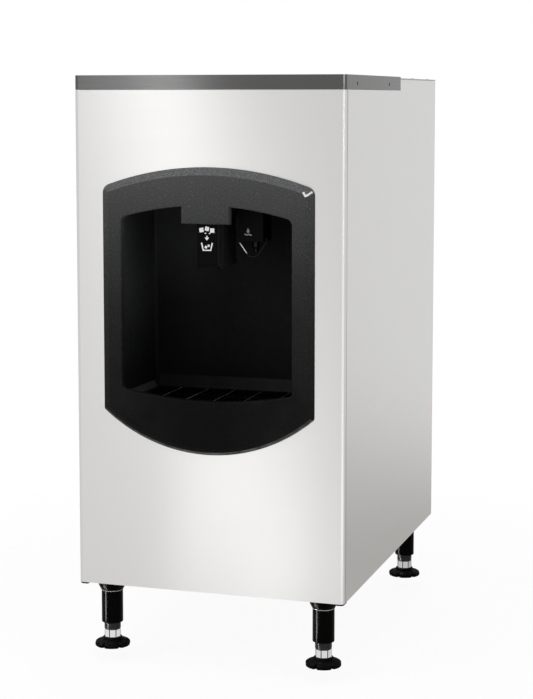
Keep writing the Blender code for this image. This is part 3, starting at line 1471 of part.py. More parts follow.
def make_power_gland():
    """A domed gland for the supply cord."""
    profile = [
        (GLAND_BORE, GLAND_LENGTH),
        (GLAND_TIP, GLAND_LENGTH),
        (GLAND_RADIUS, GLAND_LENGTH - GLAND_DOME),
        (GLAND_RADIUS, GLAND_NUT + FIT),
        (GLAND_FLANGE, GLAND_NUT + FIT),
        (GLAND_FLANGE, FIT),
        (GLAND_RADIUS, FIT),
        (GLAND_RADIUS, -SHEET - GLAND_INSIDE),
        (GLAND_BORE, -SHEET - GLAND_INSIDE),
    ]
    place = (GLAND_OFFSET, CABINET_DEPTH, GLAND_LEVEL)
    return dress(turned("power_gland", profile, place, (0, 1, 0), closed=True), BLACK_MOULDED)


def make_control_box():
    """The wiring box on the left side panel, with its front lid."""
    left = -HALF_WIDTH + SHEET + FIT
    right = left + CONTROL_WIDTH
    top = CONTROL_LEVEL + CONTROL_HEIGHT
    back = CONTROL_FRONT + CONTROL_DEPTH
    control = box("control_box", (left, CONTROL_FRONT, CONTROL_LEVEL), (right, back, top))
    dress(bevel(control, CONTROL_ROUND, 1), GALVANISED)
    lid_back = CONTROL_FRONT - FIT
    low = (left, lid_back - CONTROL_LID, CONTROL_LEVEL - CONTROL_LID_LIP)
    lid = box("control_box_lid", low, (right + CONTROL_LID_LIP, lid_back, top + CONTROL_LID_LIP))
    dress(lid, GALVANISED)


# Legs


def make_leg(name, x, depth):
    """A flared socket over a round tube, bored from below for the levelling stem."""
    socket = LEG_TUBE_RADIUS + TUBE_STEP
    bore = STEM_RADIUS + FIT * 2
    profile = [
        (0, -FIT),
        (COLLAR_RADIUS, -FIT),
        (COLLAR_RADIUS, -COLLAR_LIP),
        (socket, -COLLAR_TAPER),
        (socket, -TUBE_SHOULDER),
        (LEG_TUBE_RADIUS, -TUBE_SHOULDER - TUBE_STEP),
        (LEG_TUBE_RADIUS, -LEG_TUBE_LENGTH + LEG_CHAMFER),
        (LEG_TUBE_RADIUS - LEG_CHAMFER, -LEG_TUBE_LENGTH),
        (bore, -LEG_TUBE_LENGTH),
        (bore, -STEM_ROOF),
        (0, -STEM_ROOF),
    ]
    return dress(turned(name, profile, (x, depth, 0), sides=LEG_SIDES), BLACK_GLOSS)


def make_foot_stem(name, x, depth, body):
    foot = -LEG_HEIGHT + PAD_HEIGHT + FIT
    profile = [
        (0, -STEM_TOP),
        (STEM_RADIUS - STEM_CHAMFER, -STEM_TOP),
        (STEM_RADIUS, -STEM_TOP - STEM_CHAMFER),
        (STEM_RADIUS, foot),
        (0, foot),
    ]
    return dress(turned(name, profile, (x, depth, 0), sides=LEG_SIDES), CHROME, body)


def make_foot_pad(name, x, depth, body):
    """A lobed rubber plate with a round hub under the stem."""
    angles = [tau * (lobe + share) / PAD_LOBES for lobe in range(PAD_LOBES) for share in LOBE_SHARES]
    notched = [share == 0 for _ in range(PAD_LOBES) for share in LOBE_SHARES]

    def ring(radii, height):
        return [
            (x + radius * cos(angle), depth + radius * sin(angle), height - LEG_HEIGHT)
            for radius, angle in zip(radii, angles)
        ]

    def lobed(inset, height):
        return ring([PAD_RADIUS - inset - (PAD_NOTCH if deep else 0) for deep in notched], height)

    def round_ring(radius, height):
        return ring([radius for _ in angles], height)

    rings = [
        lobed(PAD_EDGE, 0),
        lobed(0, PAD_EDGE),
        lobed(0, PAD_PLATE),
        lobed(PAD_EDGE * 2, PAD_SHOULDER),
        round_ring(PAD_HUB, PAD_SHOULDER + PAD_EDGE),
        round_ring(PAD_HUB, PAD_HEIGHT),
    ]
    return dress(smooth(lofted(name, rings)), RUBBER, body)


def make_legs():
    rows = {"front": LEG_SETBACK, "back": CABINET_DEPTH - LEG_SETBACK}
    for row, depth in rows.items():
        for side, x in (("left", -LEG_OFFSET), ("right", LEG_OFFSET)):
            corner = f"{row}_{side}"
            make_leg(f"{corner}_leg", x, depth)
            body = pivot(f"{corner}_foot_axis", at(x, depth, -LEG_HEIGHT))
            make_foot_stem(f"{corner}_foot_stem", x, depth, body)
            make_foot_pad(f"{corner}_foot_pad", x, depth, body)


def main():
    make_front_panel()
    make_side_panel("left_side_panel", -1)
    make_side_panel("right_side_panel", 1)
    make_back_panel()
    make_base_pan()
    make_corner_post("left_corner_post", -1)
    make_corner_post("right_corner_post", 1)
    make_top_trim()
    make_top_deck()
    make_drop_collar()
    make_bezel()
    make_alcove_housing()
    make_drip_sink()
    make_drip_grille(pivot("grille_lift", at(0, (SINK_FRONT + SINK_BACK) / 2, SINK_STEP_LEVEL)))
    make_drain_hose()
    chute_axis = pivot("chute_axis", at(0, HINGE_DEPTH, HINGE_LEVEL))
    make_ice_chute(chute_axis)
    make_chute_pivot_pin()
    make_chute_bracket()
    make_ice_throat()
    gate_axis = pivot("gate_axis", at(0, GATE_DEPTH, GATE_LEVEL))
    make_gate_flap(gate_axis)
    make_gate_crank(gate_axis)
    make_solenoid_plunger(pivot("plunger_axis", at(plunger_x(), *crank_tip())))
    make_gate_solenoid()
    make_ice_switch()
    make_switch_button(pivot("button_axis", at(switch_x(), LUG_DEPTH, SWITCH_BOTTOM)))
    make_ice_bin()
    make_bin_shelf()
    wheel_axis = pivot("wheel_axis", at(0, WHEEL_FRONT, WHEEL_LEVEL))
    make_paddle_wheel(wheel_axis)
    make_agitator(wheel_axis)
    make_drive_shaft(wheel_axis)
    make_shaft_bearing()
    make_gearbox_mount()
    make_gearbox()
    make_gear_motor()
    make_water_valve()
    make_water_nozzle()
    make_water_lever(pivot("lever_axis", at(WATER_OFFSET, LEVER_DEPTH, LEVER_LEVEL)))
    make_water_solenoid_valve()
    make_water_tube()
    make_back_fittings()
    make_power_gland()
    make_control_box()
    make_legs()


main()
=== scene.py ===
"""Looks of a floor-standing ice and water dispenser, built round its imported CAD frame.

Sizes are in metres. A depth is measured back from the cabinet's front face, and a height up from the
cabinet's underside, which the legs hold above the ground.
"""

import json
from math import asin, atan2, cos, pi, radians, sin, sqrt, tau

import bmesh
import bpy
from mathutils import Matrix, Vector


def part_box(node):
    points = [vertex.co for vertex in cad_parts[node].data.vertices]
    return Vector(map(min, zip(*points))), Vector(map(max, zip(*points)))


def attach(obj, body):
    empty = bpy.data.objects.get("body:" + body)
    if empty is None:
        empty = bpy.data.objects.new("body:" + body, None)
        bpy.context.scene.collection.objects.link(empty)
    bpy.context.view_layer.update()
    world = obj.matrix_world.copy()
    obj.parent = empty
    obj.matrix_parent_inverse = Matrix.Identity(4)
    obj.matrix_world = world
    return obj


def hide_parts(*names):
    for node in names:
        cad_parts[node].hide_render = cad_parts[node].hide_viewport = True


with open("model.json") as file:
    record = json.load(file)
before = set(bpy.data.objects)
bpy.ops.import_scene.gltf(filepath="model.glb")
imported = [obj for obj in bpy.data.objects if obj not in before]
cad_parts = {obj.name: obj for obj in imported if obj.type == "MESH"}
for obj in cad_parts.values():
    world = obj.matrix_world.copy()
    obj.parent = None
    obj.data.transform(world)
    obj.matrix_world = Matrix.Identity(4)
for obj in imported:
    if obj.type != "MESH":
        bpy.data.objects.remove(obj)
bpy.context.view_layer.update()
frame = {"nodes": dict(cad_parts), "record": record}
NODES = frame["nodes"]

CABINET_DEPTH = 0.800
HALF_WIDTH = 0.2795
FRONT_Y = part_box("back_panel")[1].y - CABINET_DEPTH
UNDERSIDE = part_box("back_panel")[0].z
LEG_HEIGHT = 0.140
LEG_X = 0.226
FRONT_LEG, BACK_LEG = 0.046, 0.754
OUTLET_X = 0.080
# The feet screw 25 mm down, and the floor lies 1 mm lower still
FEET_DOWN = 0.026


def at(x, depth, height):
    return Vector((x, FRONT_Y + depth, UNDERSIDE + height))


# The camera's place, and its focal length and frame in the photo's pixels
CAMERA_PLACE = at(1.1477, -3.2475, 0.9827)
PHOTO_HEIGHT = 699
FOCAL_PIXELS = 1765.5
# Spots of a painted glint on the bezel's right shoulder, as (x, depth, height)
GLINT_SPOTS = (
    (0.1995, -0.0109, 0.8025), (0.2015, -0.0120, 0.7995), (0.2035, -0.0129, 0.7970),
    (0.2060, -0.0113, 0.7978), (0.2085, -0.0095, 0.7994), (0.2112, -0.0075, 0.8016),
    (0.2140, -0.0054, 0.8038),
)


# Materials


class Finish:
    """A node material under construction, with its shader at hand."""

    def __init__(self, name, colour, roughness, metallic=0.0):
        self.material = bpy.data.materials.new(name)
        self.material.use_nodes = True
        self.tree = self.material.node_tree
        self.shader = self.tree.nodes["Principled BSDF"]
        self.shader.inputs["Base Color"].default_value = (*colour, 1)
        self.shader.inputs["Roughness"].default_value = roughness
        self.shader.inputs["Metallic"].default_value = metallic
        self.colour = colour
        self.roughness = roughness

    def node(self, kind, **settings):
        made = self.tree.nodes.new(kind)
        for key, value in settings.items():
            if key in made.inputs:
                made.inputs[key].default_value = value
            else:
                setattr(made, key, value)
        return made

    def link(self, source, target):
        self.tree.links.new(source, target)

    def place(self, scale):
        """Object coordinates stretched by the scale along each axis."""
        coordinates = self.node("ShaderNodeTexCoord")
        mapping = self.node("ShaderNodeMapping")
        mapping.inputs["Scale"].default_value = scale
        self.link(coordinates.outputs["Object"], mapping.inputs["Vector"])
        return mapping.outputs["Vector"]

    def noise(self, scale, detail=3.0, roughness=0.5):
        made = self.node("ShaderNodeTexNoise", Scale=1.0, Detail=detail, Roughness=roughness)
        self.link(self.place(scale), made.inputs["Vector"])
        return made.outputs["Fac"]

    def cells(self, scale):
        made = self.node("ShaderNodeTexVoronoi", Scale=1.0)
        self.link(self.place(scale), made.inputs["Vector"])
        return made

    def stretch(self, value, low, high, to_low, to_high):
        """The value's range from low to high moved to the new range."""
        made = self.node("ShaderNodeMapRange")
        made.inputs["From Min"].default_value = low
        made.inputs["From Max"].default_value = high
        made.inputs["To Min"].default_value = to_low
        made.inputs["To Max"].default_value = to_high
        self.link(value, made.inputs["Value"])
        return made.outputs["Result"]

    def blend(self, share, first, second):
        """A colour between the two by the share; each is a colour or a socket."""
        made = self.node("ShaderNodeMix", data_type="RGBA")
        self.link(share, made.inputs[0])
        for socket, colour in ((made.inputs[6], first), (made.inputs[7], second)):
            if isinstance(colour, tuple):
                socket.default_value = (*colour, 1)
            else:
                self.link(colour, socket)
        return made.outputs[2]

    def times(self, first, second):
        """The product of two colour sockets."""
        made = self.node("ShaderNodeMix", data_type="RGBA", blend_type="MULTIPLY")
        made.inputs[0].default_value = 1.0
        self.link(first, made.inputs[6])
        self.link(second, made.inputs[7])
        return made.outputs[2]

    def power(self, value, exponent):
        made = self.node("ShaderNodeMath", operation="POWER")
        self.link(value, made.inputs[0])
        made.inputs[1].default_value = exponent
        return made.outputs[0]

    def both(self, first, second):
        """The product of two shares."""
        made = self.node("ShaderNodeMath", operation="MULTIPLY")
        self.link(first, made.inputs[0])
        self.link(second, made.inputs[1])
        return made.outputs[0]

    def axes(self, output="Object", kind="ShaderNodeTexCoord"):
        """The three parts of a position or of the surface's direction."""
        source = self.node(kind)
        split = self.node("ShaderNodeSeparateXYZ")
        self.link(source.outputs[output], split.inputs["Vector"])
        return split.outputs

    def paint(self, colour):
        self.link(colour, self.shader.inputs["Base Color"])

    def polish(self, value):
        self.link(value, self.shader.inputs["Roughness"])

    def relief(self, height, strength, distance):
        bump = self.node("ShaderNodeBump", Strength=strength, Distance=distance)
        self.link(height, bump.inputs["Height"])
        last = self.shader.inputs["Normal"].links
        if last:
            self.link(last[0].from_socket, bump.inputs["Normal"])
        self.link(bump.outputs["Normal"], self.shader.inputs["Normal"])


def tint(colour, factor):
    return tuple(min(1.0, channel * factor) for channel in colour)


def brushed(
    name, colour, roughness, grain=(9.0, 9.0, 900.0), contrast=0.03, relief=0.04, directed=0.0, edge=1.0,
    wear=0.15, seam=False,
):
    """Sheet metal with fine grain lines along the axes whose scale is low, and gloss spread across them."""
    made = Finish(name, colour, roughness, 1.0)
    made.shader.inputs["Anisotropic"].default_value = directed
    made.shader.inputs["Anisotropic Rotation"].default_value = 0.25
    made.shader.inputs["Specular Tint"].default_value = (edge, edge, edge, 1)
    lines = made.noise(grain, 2.0, 0.6)
    drift = made.noise((2.3, 2.3, 1.7), 2.0)
    base = made.blend(drift, tint(colour, 1 - contrast), tint(colour, 1 + contrast))
    # Dirt and painted shade along the gap at the seam, stronger higher up
    if seam:
        base = made.blend(seam_dirt_and_shade(made), base, tint(colour, 0.22))
    made.paint(base)
    made.polish(made.stretch(lines, 0.3, 0.7, roughness * (1 - wear), roughness * (1 + wear)))
    made.relief(lines, relief, 0.0002)
    return made.material


def seam_dirt_and_shade(made):
    """The share of dirt and painted shade at the joint between the front panel's returns and the side
    panels.
    """
    x, y, z = made.axes()
    far = made.node("ShaderNodeMath", operation="ABSOLUTE")
    made.link(x, far.inputs[0])
    outside = made.stretch(far.outputs[0], HALF_WIDTH - 0.0012, HALF_WIDTH - 0.0006, 0.0, 1.0)
    joint = FRONT_Y + 0.0129
    before = made.stretch(y, joint - 0.0024, joint - 0.0012, 0.0, 1.0)
    behind = made.stretch(y, joint + 0.0012, joint + 0.0030, 1.0, 0.0)
    fade = made.stretch(z, UNDERSIDE + 0.75, UNDERSIDE + 0.97, 0.45, 1.0)
    return made.both(made.both(outside, fade), made.both(before, behind))


def galvanised(name, colour, roughness):
    """Zinc spangle: flat crystals of slightly different brightness."""
    made = Finish(name, colour, roughness, 1.0)
    crystals = made.cells((70.0, 70.0, 70.0))
    split = made.node("ShaderNodeSeparateColor")
    made.link(crystals.outputs["Color"], split.inputs["Color"])
    made.paint(made.blend(split.outputs["Red"], tint(colour, 0.86), tint(colour, 1.12)))
    made.polish(made.stretch(split.outputs["Green"], 0, 1, roughness * 0.8, roughness * 1.2))
    made.relief(made.noise((160.0, 160.0, 160.0), 2.0), 0.06, 0.0003)
    return made.material


def leather(made, grain, relief, spread=(0.85, 1.2)):
    """Gives the finish a fine leather grain and returns its drifting colour."""
    pores = made.cells((grain, grain, grain))
    soft = made.noise((grain / 4, grain / 4, grain / 4), 3.0)
    drift = made.noise((5.0, 5.0, 5.0), 2.0)
    made.polish(made.stretch(soft, 0.3, 0.7, made.roughness * 0.85, made.roughness * 1.2))
    made.relief(pores.outputs["Distance"], relief, 0.0002)
    made.relief(soft, relief * 0.6, 0.0003)
    return made.blend(drift, tint(made.colour, spread[0]), tint(made.colour, spread[1]))


def moulded(name, colour, roughness, grain=420.0, relief=0.25, specular=0.5):
    """Moulded plastic with a fine leather grain."""
    made = Finish(name, colour, roughness)
    made.shader.inputs["Specular IOR Level"].default_value = specular
    made.paint(leather(made, grain, relief))
    return made.material


def liner(name, colour, roughness, specular, least, most):
    """The recess's black plastic, with painted light that grows upwards.

    The painted light multiplies the colour by least on all faces, and again by most on those that face
    right.
    """
    made = Finish(name, colour, roughness)
    made.shader.inputs["Specular IOR Level"].default_value = specular
    base = leather(made, 300.0, 0.18)
    facing = made.axes("True Normal", "ShaderNodeNewGeometry")
    height = made.axes()[2]
    # Painted light, lighter higher up
    rise = made.stretch(height, UNDERSIDE + 0.50, UNDERSIDE + 0.76, 0.0, 1.0)
    base = made.times(base, made.blend(rise, (1.0,) * 3, (least,) * 3))
    # Painted light on faces that face right, weaker lower down
    lower = made.stretch(height, UNDERSIDE + 0.42, UNDERSIDE + 0.60, 0.1, 1.0)
    wall = made.both(made.stretch(facing[0], 0.6, 0.9, 0.0, 1.0), lower)
    base = made.times(base, made.blend(wall, (1.0,) * 3, (most,) * 3))
    # Painted light on the upper left of the back wall
    left = made.stretch(made.axes()[0], -0.03, -0.11, 0.0, 1.0)
    upper_left = made.both(left, made.stretch(height, UNDERSIDE + 0.56, UNDERSIDE + 0.68, 0.2, 1.0))
    back = made.both(upper_left, made.stretch(facing[1], -0.8, -0.9, 0.0, 1.0))
    made.paint(made.times(base, made.blend(back, (1.0,) * 3, (3.8,) * 3)))
    return made.material


def bezel_with_painted_light(name, colour, roughness, specular, low, high, least, most):
    """The bezel's plastic, with painted light, grain, flecks, a painted highlight and a painted glint.

    The painted light multiplies the colour by least at the low height above the ground and by most at the
    high one.
    """
    made = Finish(name, colour, roughness)
    made.shader.inputs["Specular IOR Level"].default_value = specular
    base = leather(made, 420.0, 0.25, (0.88, 1.12))
    mottle = made.noise((700.0, 700.0, 700.0), 2.0, 0.7)

    # Painted light that grows upwards, patchy at the foot of both sides
    across, _, height = made.axes()
    facing = made.axes("True Normal", "ShaderNodeNewGeometry")
    rise = made.power(made.stretch(height, low, high, 0.0, 1.0), 2.5)
    from_middle = made.node("ShaderNodeMath", operation="ABSOLUTE")
    made.link(across, from_middle.inputs[0])
    patches = made.stretch(made.noise((12.0, 12.0, 12.0), 3.0), 0.35, 0.65, 0.35, 1.30)
    aside = made.both(made.stretch(from_middle.outputs[0], 0.04, 0.20, 0.0, 1.0), patches)
    foot = made.blend(aside, (least,) * 3, (0.34,) * 3)
    base = made.times(base, made.blend(rise, foot, (most,) * 3))

    # Painted light, with a coarse mottle, on the border's slope where it faces up
    slope = made.stretch(facing[1], -0.97, -0.90, 0.0, 1.0)
    upward = made.both(slope, made.stretch(facing[2], 0.15, 0.35, 0.0, 1.0))
    coarse = made.blend(made.stretch(mottle, 0.36, 0.64, 0.0, 1.0), (0.85,) * 3, (2.55,) * 3)
    base = made.blend(upward, base, made.times(base, coarse))

    # Grain, stronger where there is little painted light, and pale flecks where there is much
    dust = made.noise((360.0, 360.0, 360.0), 1.0)
    dark = made.blend(rise, (0.68,) * 3, (0.89,) * 3)
    light = made.blend(rise, (1.32,) * 3, (1.11,) * 3)
    base = made.times(base, made.blend(made.stretch(dust, 0.35, 0.65, 0.0, 1.0), dark, light))
    flecks = made.both(made.stretch(dust, 0.705, 0.76, 0.0, 1.0), rise)
    base = made.blend(flecks, base, tint(colour, 10.0))

    # A painted highlight along the lower border's edge, and a painted glint on one shoulder
    steep = made.stretch(facing[1], -0.86, -0.83, 0.0, 1.0)
    rim = made.both(steep, made.stretch(facing[2], -0.38, -0.58, 0.0, 1.0))
    patchy = made.noise((45.0, 45.0, 45.0), 3.0, 0.7)
    rim = made.both(rim, made.stretch(height, UNDERSIDE + 0.40, UNDERSIDE + 0.43, 1.0, 0.0))
    rim_highlight = made.both(rim, made.stretch(patchy, 0.35, 0.65, 0.30, 1.0))
    base = made.blend(rim_highlight, base, tint(colour, 6.0))
    for x, depth, level in GLINT_SPOTS:
        base = made.blend(glint_patch(made, at(x, depth, level), mottle), base, (0.75, 0.75, 0.74))
    made.paint(base)
    return made.material


def highlit_wire(name, colour, bright, border, width):
    """Dark plated wire, with a painted highlight: bright plating on a stretch left of the border, which is
    width wide.
    """
    made = Finish(name, colour, 0.26, 1.0)
    wear = made.noise((60.0, 60.0, 160.0), 3.0)
    across, _, height = made.axes()
    highlit = made.both(
        made.stretch(across, border - width, border, 1.0, 0.0),
        made.stretch(height, UNDERSIDE + 0.678, UNDERSIDE + 0.682, 0.0, 1.0),
    )
    highlit = made.both(highlit, made.stretch(height, UNDERSIDE + 0.697, UNDERSIDE + 0.701, 1.0, 0.0))
    # Painted highlight on that stretch of the wire
    made.paint(made.blend(highlit, colour, bright))
    made.polish(made.stretch(wear, 0.3, 0.7, 0.20, 0.32))
    made.relief(wear, 0.05, 0.0002)
    return made.material


def glint_patch(made, place, mottle):
    """The share of a small patch of painted glint round a place."""
    source = made.node("ShaderNodeTexCoord")
    away = made.node("ShaderNodeVectorMath", operation="DISTANCE")
    made.link(source.outputs["Object"], away.inputs[0])
    away.inputs[1].default_value = place
    near = made.stretch(away.outputs["Value"], 0.0016, 0.0028, 1.0, 0.0)
    return made.both(near, made.stretch(mottle, 0.30, 0.45, 0.5, 1.0))


def smooth_finish(name, colour, roughness, metallic=0.0, specular=0.5, directed=0.0):
    """Polished or glossy surfaces: faint waviness and slight wear in the gloss."""
    made = Finish(name, colour, roughness, metallic)
    if directed:
        made.shader.inputs["Anisotropic"].default_value = directed
        made.shader.inputs["Anisotropic Rotation"].default_value = 0.25
    wear = made.noise((38.0, 38.0, 38.0), 4.0)
    made.paint(made.blend(wear, tint(colour, 0.93), tint(colour, 1.05)))
    made.polish(made.stretch(wear, 0.35, 0.75, roughness * 0.8, roughness * 1.3))
    made.relief(made.noise((14.0, 14.0, 14.0), 1.0), 0.02, 0.0005)
    made.shader.inputs["Specular IOR Level"].default_value = specular
    return made.material


STAINLESS = brushed(
    "stainless_satin", (0.632, 0.627, 0.619), 0.34, (3.0, 3.0, 1400.0), contrast=0.015, relief=0.004,
    directed=0.9, edge=0.90, wear=0.07, seam=True,
)
DECK = brushed("stainless_mill", (0.44, 0.435, 0.43), 0.38, (60.0, 4.0, 60.0), edge=0.8)
STAINLESS_BAR = brushed("stainless_bar", (0.62, 0.62, 0.61), 0.24, (60.0, 500.0, 60.0))
ZINC = galvanised("zinc_spangle", (0.55, 0.56, 0.57), 0.42)
TRIM = brushed(
    "trim_satin_grey", (0.094, 0.094, 0.095), 0.16, contrast=0.04, relief=0.004, edge=0.80
)
# The bezel's black, with painted light that grows upwards
BEZEL_GRAIN = bezel_with_painted_light("black_leather_grain", (0.0185, 0.0187, 0.0190), 0.50, 0.05, 0.44, 0.99, 0.09, 3.45)
# The recess's black, with painted light higher up, on faces that face right and on the upper left of the
# back wall
BLACK_LINER = liner("black_liner", (0.0046, 0.0048, 0.0048), 0.45, 0.04, 1.9, 4.2)
BLACK_FACE = moulded("black_face", (0.0030, 0.0030, 0.0030), 0.45, 300.0, 0.15, specular=0.02)
UMBER_GRILLE = moulded("black_umber", (0.0036, 0.0014, 0.0010), 0.45, 300.0, 0.18, specular=0.03)
# The recess's coves, painted paler than the liner as painted light: brighter on the side ledges, a dimmer
# copy at the back
LIT_COVE = moulded("lit_cove", (0.042, 0.043, 0.045), 0.50, 160.0, 0.40, specular=0.05)
SHADED_COVE = moulded("shaded_cove", (0.013, 0.0125, 0.012), 0.50, 110.0, 0.80, specular=0.05)
ROD_GREY = moulded("rod_grey", (0.10, 0.10, 0.10), 0.40, 300.0, 0.10, specular=0.2)
BLACK_GLOSS = smooth_finish("black_gloss", (0.0007, 0.0005, 0.0004), 0.30, 0.0, 0.022, 0.9)
CHROME = smooth_finish("bright_plate", (0.82, 0.83, 0.85), 0.07, 1.0)
# Chrome darkened as painted shade, for the water nozzle in the recess
SHADED_CHROME = smooth_finish("shaded_chrome", (0.012, 0.012, 0.013), 0.28, 1.0)
HIGHLIT_WIRE = highlit_wire("highlit_wire", (0.012, 0.012, 0.0125), (0.58, 0.58, 0.56), 0.0790, 0.0020)
DARK_THREAD = smooth_finish("dark_thread", (0.040, 0.040, 0.040), 0.30, 1.0, directed=0.9)
BRASS = brushed("turned_brass", (0.76, 0.58, 0.28), 0.26, (300.0, 40.0, 300.0))
WHITE_FOOD = moulded("white_moulded", (0.80, 0.80, 0.78), 0.42, 260.0, 0.08)
ACETAL = moulded("natural_acetal", (0.72, 0.71, 0.66), 0.36, 300.0, 0.05)
MOTOR = moulded("cast_grey", (0.20, 0.21, 0.22), 0.48, 220.0, 0.35)
RUBBER = moulded("foot_rubber", (0.0016, 0.0014, 0.0013), 0.62, 500.0, 0.30, specular=0.03)
HIGHLIGHT_RING = moulded("ring_painted_highlight", (0.50, 0.52, 0.50), 0.50, 500.0, 0.05, specular=0.05)
PRINT = moulded("print_white", (0.66, 0.66, 0.65), 0.55, 600.0, 0.05)
LABEL = moulded("label_pale", (0.16, 0.16, 0.165), 0.50, 600.0, 0.05)
# The chute's black, with painted light on its faces that face right
CHUTE_BLACK = liner("chute_black", (0.0026, 0.0026, 0.0026), 0.38, 0.02, 1.0, 6.0)

SLOT_FINISHES = {
    "stainless": STAINLESS,
    "galvanised": ZINC,
    "chrome": CHROME,
    "brass": BRASS,
    "trim_grey": TRIM,
    "black_moulded": BLACK_LINER,
    "black_gloss": BLACK_GLOSS,
    "white_moulded": WHITE_FOOD,
    "acetal": ACETAL,
    "motor_grey": MOTOR,
    "rubber": RUBBER,
}
NODE_FINISHES = {
    "top_deck": DECK,
    "agitator": STAINLESS_BAR,
    "drive_shaft": STAINLESS_BAR,
    "ice_chute": CHUTE_BLACK,
    "water_valve": BLACK_FACE,
    "water_nozzle": SHADED_CHROME,
    "drip_grille": UMBER_GRILLE,
}


# Carried-over CAD nodes


def softening():
    """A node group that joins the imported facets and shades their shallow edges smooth."""
    group = bpy.data.node_groups.new("soft_facets", "GeometryNodeTree")
    group.interface.new_socket("Geometry", in_out="INPUT", socket_type="NodeSocketGeometry")
    group.interface.new_socket("Geometry", in_out="OUTPUT", socket_type="NodeSocketGeometry")
    entry = group.nodes.new("NodeGroupInput")
    leave = group.nodes.new("NodeGroupOutput")
    plain = group.nodes.new("GeometryNodeRemoveAttribute")
    plain.inputs["Name"].default_value = "custom_normal"
    weld = group.nodes.new("GeometryNodeMergeByDistance")
    weld.inputs["Distance"].default_value = 0.00001
    round_off = group.nodes.new("GeometryNodeSetShadeSmooth")
    keep = group.nodes.new("GeometryNodeSetShadeSmooth")
    keep.domain = "EDGE"
    keep.inputs["Shade Smooth"].default_value = False
    angle = group.nodes.new("GeometryNodeInputMeshEdgeAngle")
    steep = group.nodes.new("FunctionNodeCompare")
    steep.data_type = "FLOAT"
    steep.operation = "GREATER_THAN"
    steep.inputs[1].default_value = radians(38)
    group.links.new(entry.outputs[0], plain.inputs["Geometry"])
    group.links.new(plain.outputs[0], weld.inputs["Geometry"])
    group.links.new(weld.outputs[0], round_off.inputs["Geometry"])
    group.links.new(round_off.outputs[0], keep.inputs["Geometry"])
    group.links.new(angle.outputs["Unsigned Angle"], steep.inputs[0])
    group.links.new(steep.outputs[0], keep.inputs["Selection"])
    group.links.new(keep.outputs[0], leave.inputs[0])
    return group


SOFT_FACETS = softening()


def even_faces(target):
    """Joins coplanar facets and gives flat faces the say over the shading along their edges."""
    join = target.modifiers.new("joined_facets", "DECIMATE")
    join.decimate_type = "DISSOLVE"
    join.angle_limit = radians(0.2)
    join.delimit = {"SHARP"}
    weigh = target.modifiers.new("even_faces", "WEIGHTED_NORMAL")
    weigh.keep_sharp = True


def dress_nodes():
    for row in frame["record"]["subparts"]:
        node = NODES[row["node"]]
        node.data.materials.clear()
        finish = NODE_FINISHES.get(row["node"], SLOT_FINISHES[row["material_slot"]])
        node.data.materials.append(finish)
        soften = node.modifiers.new("soft_facets", "NODES")
        soften.node_group = SOFT_FACETS
        even_faces(node)


dress_nodes()


# Mesh helpers


def piece(name, shape, finish, body, replaces=(), angle=32):
    """Finishes a mesh as a piece that rides on a body."""
    bmesh.ops.remove_doubles(shape, verts=shape.verts, dist=0.000001)
    bmesh.ops.recalc_face_normals(shape, faces=shape.faces)
    mesh = bpy.data.meshes.new(name)
    shape.to_mesh(mesh)
    shape.free()
    mesh.shade_smooth()
    mesh.set_sharp_from_angle(angle=radians(angle))
    mesh.materials.append(finish)
    made = bpy.data.objects.new(name, mesh)
    bpy.context.scene.collection.objects.link(made)
    even_faces(made)
    if replaces:
        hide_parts(*replaces)
    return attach(made, body)


def add_strip(shape, first, second):
    """Quads between two closed rows of vertices."""
    for i in range(len(first)):
        after = (i + 1) % len(first)
        shape.faces.new((first[i], first[after], second[after], second[i]))


def add_loft(shape, rings, closed=False, caps=True):
    """Joins rings of equal length by quads; closed joins the last ring to the first."""
    rows = [[shape.verts.new(point) for point in ring] for ring in rings]
    pairs = list(zip(rows, rows[1:]))
    if closed:
        pairs.append((rows[-1], rows[0]))
    for first, second in pairs:
        add_strip(shape, first, second)
    if caps and not closed:
        shape.faces.new(rows[0])
        shape.faces.new(rows[-1])
    return rows


def add_turned(shape, profile, place, direction=(0, 0, 1), sides=48, closed=False):
    """Turns (radius, along) points about an axis through the place."""
    turn = Vector((0, 0, 1)).rotation_difference(Vector(direction)).to_matrix()
    origin = Vector(place)
    rings = []
    for radius, along in profile:
        ring = []
        for i in range(sides):
            angle = tau * i / sides
            local = Vector((max(radius, 0.00001) * cos(angle), max(radius, 0.00001) * sin(angle), along))
            ring.append(origin + turn @ local)
        rings.append(ring)
    add_loft(shape, rings, closed)


def add_block(shape, low, high, radius):
    """A block with its edges rounded."""
    made = bmesh.ops.create_cube(shape, size=1)["verts"]
    bmesh.ops.scale(shape, vec=high - low, verts=made)
    bmesh.ops.translate(shape, vec=(high + low) / 2, verts=made)
    edges = list(dict.fromkeys(edge for vert in made for edge in vert.link_edges))
    bmesh.ops.bevel(shape, geom=edges, offset=radius, segments=2, profile=0.5, affect="EDGES")


def add_prism(shape, outline, low, high):
    """An (x, height) outline drawn out in depth."""
    add_loft(shape, [[at(x, depth, height) for x, height in outline] for depth in (low, high)])


def arc(centre, radius, start, end, steps):
    angles = [start + (end - start) * i / steps for i in range(steps + 1)]
    return [(centre[0] + radius * cos(angle), centre[1] + radius * sin(angle)) for angle in angles]


def mirrored(points):
    """The points on the other side of the middle, in reverse, so that they carry on the outline."""
    return [(-x, second) for x, second in reversed(points)]


# Bezel


